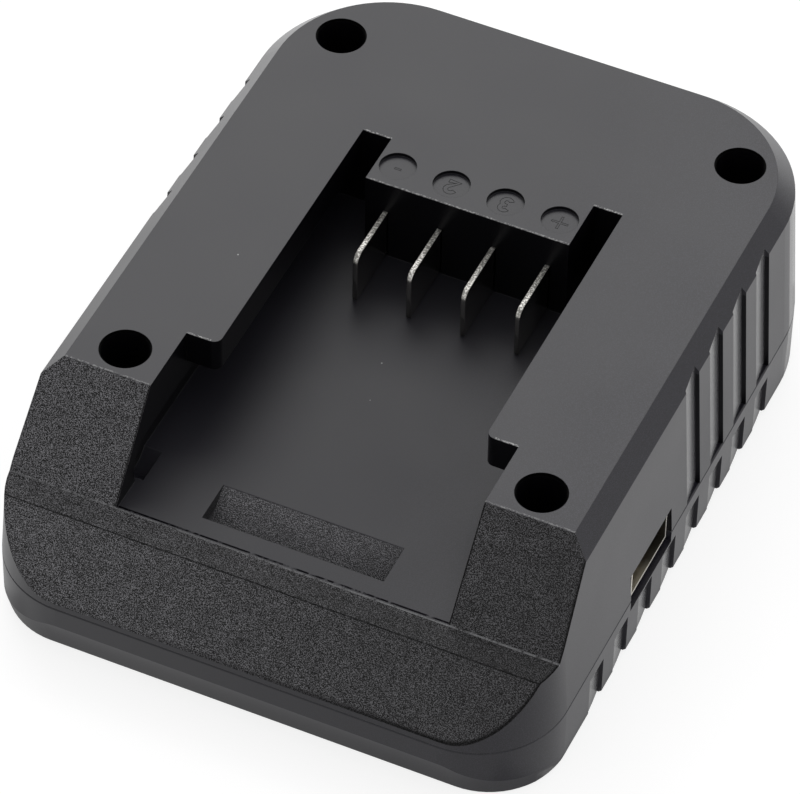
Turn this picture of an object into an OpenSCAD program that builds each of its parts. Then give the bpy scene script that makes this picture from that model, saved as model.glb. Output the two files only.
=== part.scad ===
// Slide-on battery charger for cordless power tools.
// A drafted two-part housing with an open battery bay, four contact blades,
// a USB outlet in the right wall and the power supply board inside.
// Origin: middle of the footprint, on the surface that the feet stand on.
// +X is the USB side, -Y the open end of the bay, +Z up. Millimetres.

/* [Body] */
// Width of the body at the parting line
body_w = 88.6; // [86:0.2:120]
// Length of the body at the parting line
body_l = 118.4; // [112:0.2:160]
// Height from the feet to the flat top
body_h = 36.3; // [34:0.1:46]
// Height of the parting line between housing and cover
seam_z = 10.4; // [9.6:0.1:13]
// Plan radius of the two front corners
front_corner_r = 14; // [8:0.5:18]
// Plan radius of the two rear corners
rear_corner_r = 22.4; // [12:0.2:24]
// Inward lean of the upper walls, millimetres per millimetre of height
wall_draft = 0.06; // [0.02:0.005:0.08]
// Size of the chamfer round the flat top
top_chamfer = 2.75; // [1:0.25:4]
// Thickness of the outer walls
wall = 2.2; // [1.6:0.1:3]
// Thickness of the flat top
top_t = 2.4; // [1.6:0.1:3.5]
// Height of the rubber feet below the cover
foot_h = 0.4; // [0.2:0.1:1.5]

/* [Battery bay] */
// Depth of the bay floor below the flat top
bay_depth = 14.7; // [13:0.1:16]
// Thickness of the bay floor
floor_t = 2.2; // [1.6:0.1:3]
// Clear gap between the two rails
rail_gap = 42.3; // [38:0.1:46]
// Clear gap between the arms, in front of the rails
arm_gap = 52.6; // [48:0.1:54]
// Clear width of the slide grooves under the arms
groove_gap = 56.4; // [54:0.1:58]
// Thickness of the rails
rail_t = 5.75; // [4:0.05:7]
// Depth of the groove ceiling below the flat top
groove_top = 8.15; // [7:0.05:10]
// Distance from the rear of the body to the end of the bay
bay_end = 33.1; // [30:0.1:40]
// Length of the terminal tongue
tongue_l = 9.15; // [7:0.05:12]
// Width of the terminal tongue
tongue_w = 33; // [28:0.2:33.4]
// Distance from the front of the body to the start of the rails
rail_start = 35.7; // [30:0.1:42]
// Distance from the front of the body to the start of the slide grooves
groove_start = 18.2; // [16:0.1:22]
// Radius of the lead-in at the start of the slide grooves
groove_lead_r = 4; // [2:0.5:5]
// Distance from the front of the body to the middle of the catch pocket
pocket_at = 19.7; // [18:0.1:24]
// Width of the catch pocket
pocket_w = 28.8; // [16:0.2:34]
// Length of the catch pocket
pocket_l = 7.1; // [5:0.1:9]
// Depth of the catch pocket at its front wall
pocket_depth = 6.2; // [3:0.1:7]

/* [Nose] */
// Distance from the front of the body to the crease at floor level
crease_at = 12.2; // [11:0.1:15]
// Height of the crease above the bay floor
crease_lip = 0.3; // [0.1:0.1:1]
// Distance from the front of the body to the lower bend of the nose
bend_at = 8.2; // [6:0.1:9]
// Drop from the crease to the lower bend
bend_drop = 0.55; // [0.2:0.05:2]
// Length of the upper slope, measured along the body
upper_slope_l = 11.75; // [8:0.05:14]
// Height of the nose's lower edge above the parting line
nose_edge = 1.05; // [0.6:0.05:4]

/* [Terminals] */
// Spacing of the contact blades
blade_pitch = 8.78; // [7.6:0.02:8.9]
// Thickness of a contact blade
blade_t = 0.8; // [0.5:0.1:1.2]
// Reach of the blades in front of the tongue
blade_reach = 10.7; // [8:0.1:12]
// Distance of the blades' top edge below the flat top
blade_drop = 5.74; // [4.5:0.02:8]
// Radius of the blades' upper front corner
blade_corner_r = 2.2; // [0.5:0.1:3]
// Diameter of the mark recesses
mark_d = 5.7; // [4:0.1:6.4]
// Depth of the mark recesses
mark_depth = 0.6; // [0.2:0.1:1.2]
// Distance from the tongue's front edge to the middle of the marks
mark_at = 4.3; // [3.2:0.1:6]

/* [Grip grooves] */
// Spacing of the grooves along the body
grip_pitch = 8.9; // [7:0.1:9.6]
// Width of one groove
grip_w = 4.9; // [3:0.1:6]
// Depth of a groove at its front wall
grip_front_depth = 0.2; // [0.1:0.05:0.8]
// Depth of a groove at its rear wall
grip_rear_depth = 0.75; // [0.4:0.05:1.2]
// Distance from the rear of the body to the last groove's rear wall
grip_from_rear = 28.6; // [27:0.1:34]
// Number of grooves on each side of the housing
housing_grips = 4; // [2:1:4]
// Number of grooves on each side of the cover
cover_grips = 8; // [4:1:8]
// Height of the plain band between the parting line and the cover's grooves
cover_grip_top = 2.5; // [2.3:0.1:4]
// Height of the cover's upright front below the parting line
cover_lip = 3.5; // [2.5:0.1:5]
// Inward run of the cover's raked front
front_rake = 2.3; // [0:0.05:3]

/* [Fasteners] */
// Distance of the case screws from the sides of the body
screw_in_x = 11.45; // [10.8:0.05:12]
// Distance of the front case screws from the front of the body
screw_in_front = 29; // [26:0.1:34]
// Distance of the rear case screws from the rear of the body
screw_in_rear = 15.8; // [15:0.1:20]
// Diameter of the screw wells
well_d = 7.2; // [6.4:0.1:7.6]
// Height of the shelf that the screw heads seat on
well_floor_z = 14; // [12:0.1:16]
// Diameter of the case screws' thread
case_screw_d = 2.8; // [2.2:0.1:3.2]
// Diameter of the case screws' head
case_head_d = 5.6; // [4.6:0.1:6]

/* [Ports] */
// Distance from the front of the body to the middle of the USB outlet
usb_at = 45.6; // [42:0.1:60]
// Gap between the USB socket and the front edge of its window
usb_front_gap = 1.8; // [0.2:0.1:3]
// Gap between the USB socket and the rear edge of its window
usb_rear_gap = 0.2; // [0.15:0.05:2]
// Height of the USB window above the parting line
usb_window_up = 5; // [4.8:0.1:6]
// Depth of the USB window below the parting line
usb_window_down = 2.1; // [1.4:0.1:2.2]
// Width of the USB socket's shell
usb_w = 13.15; // [13:0.05:13.3]
// Height of the USB socket's shell
usb_h = 5.7; // [5.6:0.05:5.9]
// Length of the USB socket
usb_l = 14; // [10:0.5:18]
// Thickness of the shell's sheet
usb_sheet = 0.35; // [0.2:0.05:0.5]
// Distance of the USB socket behind the wall's face
usb_recess = 0.7; // [0.3:0.1:2]
// Width of the mains inlet
inlet_w = 18.6; // [17.4:0.2:22]
// Height of the mains inlet's snout
inlet_h = 9; // [8.6:0.1:10]
// Spacing of the inlet's two pins
pin_pitch = 8.6; // [8.6:0.1:8.6]
// Diameter of the inlet's pins
pin_d = 2.4; // [2.3:0.05:2.4]
// Depth of the inlet's mouth
inlet_depth = 11.5; // [11:0.5:13]
// Diameter of the charge indicator's light pipe
pipe_d = 3; // [2:0.1:3.6]

/* [Board] */
// Drop from the parting line to the board's upper face
board_drop = 1.2; // [0.9:0.1:1.3]
// Thickness of the board
board_t = 1.6; // [1.2:0.2:2]
// Gap between the board and the walls
board_gap = 1; // [0.4:0.1:2]

/* [Hidden] */
$fn = 96;

slip = 0.15;            // gap of a sliding fit
seat = 0.05;            // gap of a seated fit
over = 1;               // how far a cutter runs past the face that it cuts
edge_break = 0.2;       // chamfer on each side of the parting line

half_w = body_w / 2;
half_l = body_l / 2;
floor_z = body_h - bay_depth;
under_floor_z = floor_z - floor_t;
inner_top_z = body_h - top_t;
cover_floor_z = foot_h + wall;
bay_end_y = half_l - bay_end;
tongue_front_y = bay_end_y - tongue_l;
rail_start_y = rail_start - half_l;
groove_start_y = groove_start - half_l;
pocket_front_y = pocket_at - pocket_l / 2 - half_l;
pocket_rear_y = pocket_front_y + pocket_l;
usb_y = usb_at - half_l;
grip_last_y = half_l - grip_from_rear;
screw_x = half_w - screw_in_x;
screw_front_y = screw_in_front - half_l;
screw_rear_y = half_l - screw_in_rear;
SCREWS = [for (x = [-screw_x, screw_x]) for (y = [screw_front_y, screw_rear_y]) [x, y]];

// Nose outline, from the flat top down to the front wall, as [y, z]
crease_y = crease_at - half_l;
crease_z = floor_z + crease_lip;
bend_y = bend_at - half_l;
bend_z = crease_z - bend_drop;
nose_end_z = seam_z + nose_edge;
nose_end_y = wall_draft * nose_edge - half_l;
upper_slope = upper_slope_l / (body_h - crease_z);
lower_slope = (bend_y - nose_end_y) / (bend_z - nose_end_z);
top_front_y = crease_y + upper_slope_l;
nose_wall = 3.1;        // thickness of the nose, measured along the body

rim_t = 0.95;           // thickness of the cover's locating rim
rim_h = 1.5;            // height of the rim above the parting line
rim_inset = wall - rim_t;
boss_wall = 1.6;        // plastic round a screw well
boss_r = well_d / 2 + boss_wall;
post_r = 4.2;           // cover posts under the bosses
groove_wall = 2;        // plastic beside a slide groove
board_top_z = seam_z - board_drop;
board_bottom_z = board_top_z - board_t;
board_half_w = half_w - wall - board_gap;
board_front_y = 15 - half_l;
board_rear_y = half_l - rear_corner_r + 1.2;
tab_half_w = half_w - rear_corner_r;
tab_rear_y = half_l - wall - 2;
under_room = under_floor_z - board_top_z - 1;     // room for parts between board and bay floor
rear_room = inner_top_z - board_top_z - 1;        // room for parts behind the bay
inlet_z = seam_z + slip + inlet_h / 2;
inlet_inner_y = half_l - wall - seat - wall_draft * inlet_h;

// Rectangle from two corners, extruded between two heights
module block(x, y, z) {
    translate([x[0], y[0], z[0]]) cube([x[1] - x[0], y[1] - y[0], z[1] - z[0]]);
}

// Profile drawn as [y, z], carried along X
module along_x(x0, x1) {
    translate([x0, 0, 0]) rotate([90, 0, 90]) linear_extrude(height = x1 - x0) children();
}

// Profile drawn as [x, z], carried along Y
module along_y(y0, y1) {
    translate([0, y1, 0]) rotate([90, 0, 0]) linear_extrude(height = y1 - y0) children();
}

module both_sides() {
    children();
    mirror([1, 0, 0]) children();
}

function reversed(list) = [for (i = [len(list) - 1:-1:0]) list[i]];

// The body's plan outline, carried up a profile of [inset, z] points: three prisms
// for the straight sides and a turned solid in each corner
module outline_stack(profile) {
    lowest = profile[0][1];
    highest = profile[len(profile) - 1][1];
    along_y(front_corner_r - half_l, half_l - rear_corner_r)
        polygon(concat([for (p = profile) [half_w - p[0], p[1]]],
            [for (p = reversed(profile)) [p[0] - half_w, p[1]]]));
    along_x(front_corner_r - half_w, half_w - front_corner_r)
        polygon(concat([[0, highest], [0, lowest]], [for (p = profile) [p[0] - half_l, p[1]]]));
    along_x(rear_corner_r - half_w, half_w - rear_corner_r)
        polygon(concat([[0, highest], [0, lowest]], [for (p = profile) [half_l - p[0], p[1]]]));
    both_sides() {
        translate([half_w - front_corner_r, front_corner_r - half_l, 0])
            turned_corner(front_corner_r, profile);
        translate([half_w - rear_corner_r, half_l - rear_corner_r, 0])
            turned_corner(rear_corner_r, profile);
    }
}

module turned_corner(radius, profile) {
    lowest = profile[0][1];
    highest = profile[len(profile) - 1][1];
    rotate_extrude() polygon(concat([[0, highest], [0, lowest]],
        [for (p = profile) [radius - p[0], p[1]]]));
}

// Inset of the upper wall's face at height z
function lean(z) = wall_draft * (z - seam_z);

// Inside of the upper walls, offset by the wall, between two heights
module inner_stack(inset, z0, z1) {
    outline_stack([[inset + lean(z0), z0], [inset + lean(z1), z1]]);
}

function lower_nose_y(z) = bend_y + (z - bend_z) * lower_slope;
function upper_nose_y(z) = crease_y + (z - crease_z) * upper_slope;

// Everything in front of and above the nose
module nose_cut() {
    top = body_h + over;
    far = -half_l - 5;
    low = nose_end_z - over;
    along_x(-half_w - over, half_w + over)
        polygon([[upper_nose_y(top), top], [crease_y, crease_z], [bend_y, bend_z],
            [lower_nose_y(low), low], [far, low], [far, top]]);
}

// One saw-tooth grip groove on the right wall: a slanted front wall, a floor that
// deepens towards the rear and a square rear wall at y = 0
module grip_groove(height) {
    linear_extrude(height = height)
        polygon([[over, -grip_w], [0, -grip_w], [-grip_front_depth, grip_front_depth - grip_w],
            [-grip_rear_depth, 0], [over, 0]]);
}

module housing_grooves() {
    both_sides() for (i = [0:housing_grips - 1])
        translate([half_w, grip_last_y - i * grip_pitch, seam_z]) rotate([0, -atan(wall_draft), 0])
            translate([0, 0, -over]) grip_groove(body_h - seam_z + 2 * over);
}

module cover_grooves() {
    both_sides() for (i = [0:cover_grips - 1])
        translate([half_w, grip_last_y - i * grip_pitch, foot_h - over])
            grip_groove(seam_z - cover_grip_top - foot_h + over);
}

// Open space of the bay between the arms and rails, clear of the tongue
module bay_cut() {
    top = body_h + over;
    round_r = 1.3;
    difference() {
        block([-rail_gap / 2, rail_gap / 2], [rail_start_y - over, bay_end_y], [floor_z, top]);
        block([-tongue_w / 2, tongue_w / 2], [tongue_front_y, bay_end_y + over],
            [floor_z - over, top + over]);
    }
    block([-arm_gap / 2, arm_gap / 2], [crease_y + crease_lip, rail_start_y], [floor_z, top]);
    block([-arm_gap / 2, arm_gap / 2], [crease_y - over, rail_start_y], [crease_z, top]);
    both_sides() {
        block([tongue_w / 2, arm_gap / 2], [rail_start_y - over, bay_end_y],
            [floor_z, body_h - rail_t]);
        slide_groove();
        difference() {
            block([rail_gap / 2 - over, rail_gap / 2 + round_r], [rail_start_y - over,
                rail_start_y + round_r], [floor_z, top]);
            translate([rail_gap / 2 + round_r, rail_start_y + round_r, floor_z - over])
                cylinder(r = round_r, h = bay_depth + 3 * over);
        }
    }
    block([-tongue_w / 2 - over, tongue_w / 2 + over], [rail_start_y - over, tongue_front_y],
        [floor_z, body_h - rail_t]);
}

// Slide groove under the right arm, with its rounded lead-in at the front
module slide_groove() {
    ceiling = body_h - groove_top;
    x = [arm_gap / 2 - over, groove_gap / 2];
    block(x, [groove_start_y + groove_lead_r, bay_end_y], [floor_z, ceiling]);
    block(x, [groove_start_y, bay_end_y], [floor_z, ceiling - groove_lead_r]);
    translate([x[0], groove_start_y + groove_lead_r, ceiling - groove_lead_r])
        rotate([0, 90, 0]) cylinder(r = groove_lead_r, h = x[1] - x[0]);
}

module pocket_cut() {
    along_x(-pocket_w / 2, pocket_w / 2)
        polygon([[pocket_front_y, floor_z + over], [pocket_front_y, floor_z - pocket_depth],
            [pocket_rear_y, floor_z], [pocket_rear_y, floor_z + over]]);
}

// Plastic that carries the pocket below the bay floor
module pocket_shell() {
    t = 1.8;
    along_x(-pocket_w / 2 - t, pocket_w / 2 + t)
        polygon([[pocket_front_y - t, under_floor_z + seat], [pocket_front_y - t,
            floor_z - pocket_depth - t], [pocket_front_y + t, floor_z - pocket_depth - t],
            [pocket_rear_y + t, under_floor_z + seat]]);
}

// Hollow of the housing: under the bay floor, in both arms, in the tongue and at the rear
module housing_cavity() {
    low = seam_z - over;
    rear = half_l;
    y_low = lower_nose_y(low) + nose_wall;
    y_mid = lower_nose_y(under_floor_z) + nose_wall;
    arm_x = groove_gap / 2 + groove_wall;
    tongue_x = tongue_w / 2 - wall;
    intersection() {
        inner_stack(wall, low, inner_top_z);
        union() {
            along_x(-half_w, half_w)
                polygon([[y_low, low], [rear, low], [rear, under_floor_z], [y_mid, under_floor_z]]);
            both_sides() along_x(arm_x, half_w)
                polygon([[y_mid, under_floor_z - over], [rear, under_floor_z - over],
                    [rear, body_h], [upper_nose_y(body_h) + nose_wall, body_h],
                    [upper_nose_y(under_floor_z) + nose_wall, under_floor_z]]);
            block([-half_w, half_w], [bay_end_y + wall, rear], [low, body_h]);
            block([-tongue_x, tongue_x], [tongue_front_y + wall, rear], [low, body_h]);
        }
    }
}

module at_screws() {
    for (p = SCREWS) translate([p[0], p[1], 0]) children();
}

function blade_x(i) = (i - 1.5) * blade_pitch;

// Window of the USB outlet, from the board's level up into the housing
module usb_window() {
    block([half_w - 6, half_w + over], [usb_y - usb_w / 2 - usb_front_gap,
        usb_y + usb_w / 2 + usb_rear_gap], [seam_z - usb_window_down, seam_z + usb_window_up]);
}

module inlet_window() {
    block([-inlet_w / 2 - slip, inlet_w / 2 + slip], [half_l - 6, half_l + over],
        [seam_z - edge_break, inlet_z + inlet_h / 2 + slip]);
}

module pipe_hole() {
    translate([-half_w - over, usb_y, pipe_z()]) rotate([0, 90, 0])
        cylinder(d = pipe_d + 2 * seat, h = wall + 3 * over);
}

function pipe_z() = seam_z + 3.5;

module top_housing() {
    chamfer_z = body_h - top_chamfer;
    color([0.21, 0.21, 0.22]) difference() {
        union() {
            difference() {
                outline_stack([[edge_break, seam_z], [0, seam_z + edge_break],
                    [lean(chamfer_z), chamfer_z], [lean(chamfer_z) + top_chamfer, body_h]]);
                housing_cavity();
            }
            at_screws() translate([0, 0, seam_z]) cylinder(r = boss_r, h = inner_top_z - seam_z + seat);
            pocket_shell();
        }
        inner_stack(rim_inset - slip, seam_z - over, seam_z + rim_h + slip);
        at_screws() well();
        nose_cut();
        bay_cut();
        pocket_cut();
        housing_grooves();
        usb_window();
        inlet_window();
        pipe_hole();
        for (i = [0:3]) {
            translate([blade_x(i), tongue_front_y + mark_at, body_h - mark_depth])
                cylinder(d = mark_d, h = mark_depth + over);
            block([blade_x(i) - blade_t / 2 - slip, blade_x(i) + blade_t / 2 + slip],
                [tongue_front_y - over, tongue_front_y + wall + over],
                [floor_z - seat, body_h - blade_drop + slip]);
        }
    }
}

// Screw well with a countersunk mouth and the screw's clearance hole below its shelf
module well() {
    mouth = 0.3;
    translate([0, 0, well_floor_z]) cylinder(d = well_d, h = body_h);
    translate([0, 0, body_h - mouth]) cylinder(d1 = well_d, d2 = well_d + 4 * mouth, h = 2 * mouth);
    translate([0, 0, seam_z - over]) cylinder(d = case_screw_d + 4 * slip, h = body_h);
}

BOARD_SCREWS = [for (x = [-1, 1]) for (y = [board_front_y + 6, 2]) [x * (board_half_w - 5), y]];
FEET = [for (x = [-1, 1]) for (y = [-1, 1]) [x * (half_w - 16), y * (half_l - 18)]];
foot_r = 4;
foot_inset = 0.6;       // depth of the recess that a foot sits in

module bottom_cover() {
    break_in = 0.45;
    lip_z = seam_z - cover_lip;
    color([0.17, 0.17, 0.18]) difference() {
        union() {
            difference() {
                raked_body(break_in, lip_z);
                outline_stack([[wall, cover_floor_z], [wall, seam_z + over]]);
            }
            difference() {
                outline_stack([[rim_inset, seam_z - over], [rim_inset + lean(seam_z + rim_h),
                    seam_z + rim_h]]);
                outline_stack([[wall, seam_z - 2 * over], [wall, seam_z + rim_h + over]]);
                at_screws() translate([0, 0, seam_z]) cylinder(r = boss_r + slip, h = rim_h + over);
            }
            at_screws() translate([0, 0, cover_floor_z - seat])
                cylinder(r = post_r, h = seam_z - cover_floor_z + seat);
            for (p = BOARD_SCREWS) translate([p[0], p[1], cover_floor_z - seat])
                cylinder(r = 3, h = board_bottom_z - cover_floor_z + seat);
        }
        at_screws() translate([0, 0, cover_floor_z]) cylinder(d = case_screw_d + 2 * seat, h = seam_z);
        for (p = BOARD_SCREWS) translate([p[0], p[1], cover_floor_z])
            cylinder(r = board_screw_r + seat, h = seam_z);
        for (p = FEET) translate([p[0], p[1], foot_h - over])
            cylinder(r = foot_r + slip, h = foot_inset + over);
        cover_grooves();
        usb_window();
        inlet_window();
        floor_vents();
    }
}

// Cover body with upright sides and a front that rakes in below the lip. The tilted
// copy of the outline fades the rake out round the two front corners.
module raked_body(break_in, lip_z) {
    tilt = atan(front_rake / (lip_z - foot_h));
    intersection() {
        outline_stack([[break_in + seat, foot_h], [seat, foot_h + break_in],
            [0, seam_z - edge_break], [edge_break, seam_z]]);
        union() {
            block([-half_w - over, half_w + over], [-half_l - over, half_l + over],
                [lip_z, seam_z + over]);
            translate([0, -half_l - seat, lip_z]) rotate([tilt, 0, 0])
                translate([0, half_l, -body_l]) tilted_outline(body_l + over);
        }
    }
}

module tilted_outline(height) {
    radius = front_corner_r - 2;
    side = half_w + seat;
    back = 2 * half_l;
    block([-side, side], [radius - half_l, back], [0, height]);
    block([radius - side, side - radius], [-half_l, back], [0, height]);
    both_sides() translate([side - radius, radius - half_l, 0])
        cylinder(r = radius, h = height);
}

// Two rows of air slots through the cover's floor
module floor_vents() {
    slot_w = 1.6;
    slot_l = 14;
    pitch = 4.4;
    for (side = [-1, 1]) for (i = [-3:3])
        translate([side * 12, 22 + i * pitch, foot_h - over]) {
            block([-slot_l / 2, slot_l / 2], [-slot_w / 2, slot_w / 2], [0, wall + 2 * over]);
            for (x = [-slot_l / 2, slot_l / 2]) translate([x, 0, 0])
                cylinder(d = slot_w, h = wall + 2 * over);
        }
}

block_l = 5;            // length of the terminal block behind the tongue's wall
block_front_y = tongue_front_y + wall + slip;
blade_top_z = body_h - blade_drop;
tail_l = 3;             // length of a blade's tail through the board
tail_y = block_front_y + 1;
tail_below = 0.9;       // how far a tail stands out under the board

// Side outline of a contact blade: a tab over the bay floor, rounded at its upper
// front corner, and a tail that goes down through the board
module blade_outline(grow) {
    front = tongue_front_y - blade_reach;
    low = floor_z + slip;
    r = blade_corner_r;
    polygon(concat([[front - grow, low - grow]],
        [for (a = [180:-15:90]) [front + r + (r + grow) * cos(a), blade_top_z - r + (r + grow) * sin(a)]],
        [[tail_y + tail_l + grow, blade_top_z + grow], [tail_y + tail_l + grow,
            board_bottom_z - tail_below - grow], [tail_y - grow, board_bottom_z - tail_below - grow],
            [tail_y - grow, low - grow]]));
}

module terminal_blade(i) {
    color([0.78, 0.77, 0.74]) translate([blade_x(i), 0, 0])
        along_x(-blade_t / 2, blade_t / 2) blade_outline(0);
}

module terminal_blade_1() { terminal_blade(0); }
module terminal_blade_2() { terminal_blade(1); }
module terminal_blade_3() { terminal_blade(2); }
module terminal_blade_4() { terminal_blade(3); }

module terminal_block() {
    half = tongue_w / 2 - wall - slip;
    color([0.05, 0.05, 0.05]) difference() {
        block([-half, half], [block_front_y, block_front_y + block_l],
            [board_top_z, inner_top_z - slip]);
        for (i = [0:3]) translate([blade_x(i), 0, 0])
            along_x(-blade_t / 2 - seat, blade_t / 2 + seat) blade_outline(seat);
    }
}

module circuit_board() {
    hole = post_r + 4 * slip;
    color([0.05, 0.3, 0.12]) difference() {
        union() {
            block([-board_half_w, board_half_w], [board_front_y, board_rear_y],
                [board_bottom_z, board_top_z]);
            block([-tab_half_w, tab_half_w], [board_rear_y - over, tab_rear_y],
                [board_bottom_z, board_top_z]);
        }
        at_screws() translate([0, 0, board_bottom_z - over]) cylinder(r = hole, h = board_t + 2 * over);
        for (p = BOARD_SCREWS) translate([p[0], p[1], board_bottom_z - over])
            cylinder(r = board_screw_r + slip, h = board_t + 2 * over);
        for (i = [0:3]) translate([blade_x(i), 0, 0])
            block([-blade_t / 2 - slip, blade_t / 2 + slip], [tail_y - slip, tail_y + tail_l + slip],
                [board_bottom_z - over, board_top_z + over]);
    }
}

transformer_y = bay_end_y + wall + 8;
core_w = 24;
core_l = 12;
core_h = rear_room - 4.7;
core_leg = 4;           // thickness of the core's outer legs and yokes
bobbin_t = 1;           // thickness of the bobbin's walls
bobbin_l = 15;          // length of the bobbin's flanges

// Closed ferrite core with a round middle leg
module transformer_core() {
    color([0.13, 0.13, 0.14]) translate([0, transformer_y, board_top_z + bobbin_t]) {
        difference() {
            block([-core_w / 2, core_w / 2], [-core_l / 2, core_l / 2], [0, core_h]);
            block([core_leg - core_w / 2, core_w / 2 - core_leg], [-core_l, core_l],
                [core_leg, core_h - core_leg]);
        }
        translate([0, 0, core_leg]) cylinder(d = core_leg * 1.4, h = core_h - 2 * core_leg);
    }
}

// Flanged bobbin round the middle leg, on a foot that stands on the board
module transformer_bobbin() {
    low = board_top_z + bobbin_t + core_leg + seat;
    high = board_top_z + bobbin_t + core_h - core_leg - seat;
    half = core_w / 2 - core_leg - seat;
    bore = core_leg * 1.4 / 2 + seat;
    color([0.75, 0.72, 0.6]) {
        translate([0, transformer_y, 0]) difference() {
            union() {
                for (z = [low, high - bobbin_t])
                    block([-half, half], [-bobbin_l / 2, bobbin_l / 2], [z, z + bobbin_t]);
                translate([0, 0, low]) cylinder(r = bore + bobbin_t, h = high - low);
                for (y = [-bobbin_l / 2, bobbin_l / 2 - 1.2])
                    block([-half, half], [y, y + 1.2], [board_top_z, low + bobbin_t]);
            }
            translate([0, 0, low - over]) cylinder(r = bore, h = high - low + 2 * over);
        }
    }
}

module transformer_winding() {
    low = board_top_z + bobbin_t + core_leg + bobbin_t + 2 * seat;
    high = board_top_z + bobbin_t + core_h - core_leg - bobbin_t - 2 * seat;
    inner = core_leg * 1.4 / 2 + bobbin_t + 2 * seat;
    outer = core_w / 2 - core_leg - slip - seat;
    color([0.85, 0.7, 0.1]) translate([0, transformer_y, low]) difference() {
        cylinder(r = outer, h = high - low);
        translate([0, 0, -over]) cylinder(r = inner, h = high - low + 2 * over);
    }
}

// Radial electrolytic capacitor: crimp groove near its foot and a vent cross on top
module radial_capacitor(d, h) {
    crimp = 0.4;
    difference() {
        cylinder(d = d, h = h);
        translate([0, 0, 2]) difference() {
            cylinder(d = d + over, h = 0.8);
            cylinder(d = d - 2 * crimp, h = 0.8);
        }
        for (a = [0, 90]) rotate(a) block([-d / 3, d / 3], [-0.2, 0.2], [h - 0.3, h + over]);
    }
}

module bulk_capacitor() {
    color([0.1, 0.12, 0.3]) translate([-tab_half_w - 1, transformer_y - 1, board_top_z])
        radial_capacitor(13, rear_room - 2.7);
}

module output_capacitors() {
    color([0.08, 0.08, 0.1]) for (y = [-3, 6])
        translate([tab_half_w - 1, transformer_y + y - 1, board_top_z]) radial_capacitor(8, 13);
}

choke_x = -tab_half_w + 5.6;
choke_y = tab_rear_y - 6.6;

module choke_core() {
    color([0.2, 0.4, 0.25]) translate([choke_x, choke_y, board_top_z + 0.9]) difference() {
        cylinder(d = 9.4, h = 4.2);
        translate([0, 0, -over]) cylinder(d = 4.6, h = 4.2 + 2 * over);
    }
}

// Copper turns wound round the choke's ring
module filter_choke() {
    gap = 0.1;
    color([0.75, 0.4, 0.2]) translate([choke_x, choke_y, board_top_z]) for (side = [0, 180])
        for (a = [-60:30:60]) rotate(a + side) difference() {
            block([1.3, 5.7], [-0.5, 0.5], [0, 6]);
            block([2.3 - gap, 4.7 + gap], [-over, over], [0.9 - gap, 5.1 + gap]);
        }
}

module input_fuse() {
    color([0.15, 0.15, 0.15]) translate([tab_half_w - 6.5, tab_rear_y - 6, board_top_z]) {
        cylinder(d = 8, h = 1);
        translate([0, 0, 1]) cylinder(d = 7.4, h = 6.6);
    }
}

module bridge_rectifier() {
    notch = 0.6;
    color([0.08, 0.08, 0.08]) translate([-28, -2, board_top_z]) difference() {
        block([-4.2, 4.2], [-3.2, 3.2], [0, 3.2]);
        translate([-4.2, 0, 3.2 - notch]) cylinder(r = notch, h = notch + over);
    }
}

sink_x = half_w - wall - 6.8;
sink_y = 18;
sink_t = 1.6;

// Folded heat sink: an upright plate with three fins and a foot on the board
module heat_sink() {
    color([0.7, 0.71, 0.73]) translate([sink_x, sink_y, board_top_z]) {
        block([0, sink_t], [-9, 9], [0, rear_room - 3.7]);
        for (y = [-9, -0.6, 7.8]) block([sink_t, sink_t + 2.6], [y, y + 1.2], [3, rear_room - 3.7]);
    }
}

// Power transistor: moulded body, metal tab and three legs
module power_transistor() {
    color([0.1, 0.1, 0.1]) translate([sink_x - seat, sink_y, board_top_z]) {
        block([-4.4, 0], [-5, 5], [4, 13]);
        difference() {
            block([-1.3, 0], [-5, 5], [13, 19]);
            translate([-2, 0, 16]) rotate([0, 90, 0]) cylinder(d = 3.6, h = 3);
        }
        for (y = [-2.54, 0, 2.54]) block([-2.6, -1.9], [y - 0.4, y + 0.4], [0, 4]);
    }
}

// Drum inductor: two flanges, a waist and the winding between them
module output_inductor() {
    flange = 1.6;
    color([0.3, 0.3, 0.32]) translate([22, -27, board_top_z]) {
        cylinder(d = 12, h = flange);
        translate([0, 0, flange]) cylinder(d = 9.6, h = under_room - 2 * flange);
        translate([0, 0, under_room - flange]) cylinder(d = 12, h = flange);
    }
}

// Surface-mount packages: charge controller, protection chip and USB regulator
module controller_chips() {
    color([0.07, 0.07, 0.07]) for (c = [[0, -14, 10, 6], [-16, -22, 5, 6], [18, -14, 5, 6]])
        translate([c[0], c[1], board_top_z]) {
            block([-c[2] / 2, c[2] / 2], [-2, 2], [0, 1.6]);
            for (x = [0.8 - c[2] / 2:1.27:c[2] / 2 - 0.6])
                block([x - 0.2, x + 0.2], [-c[3] / 2, c[3] / 2], [0, 0.5]);
        }
}

module safety_capacitor() {
    d = under_room - 1;
    color([0.15, 0.35, 0.6]) translate([-14, 4, board_top_z]) {
        translate([0, -1.8, 1 + d / 2]) rotate([-90, 0, 0]) cylinder(d = d, h = 3.6);
        for (x = [-0.4 * d, 0.4 * d]) translate([x, 0, 0]) cylinder(d = 0.7, h = 1 + d / 2);
    }
}

usb_face_x = half_w - lean(board_top_z + usb_h / 2) - usb_recess;
usb_back_x = usb_face_x - usb_l;
usb_tongue_z = board_top_z + usb_h - usb_sheet - 0.75 - 1.84;

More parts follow.
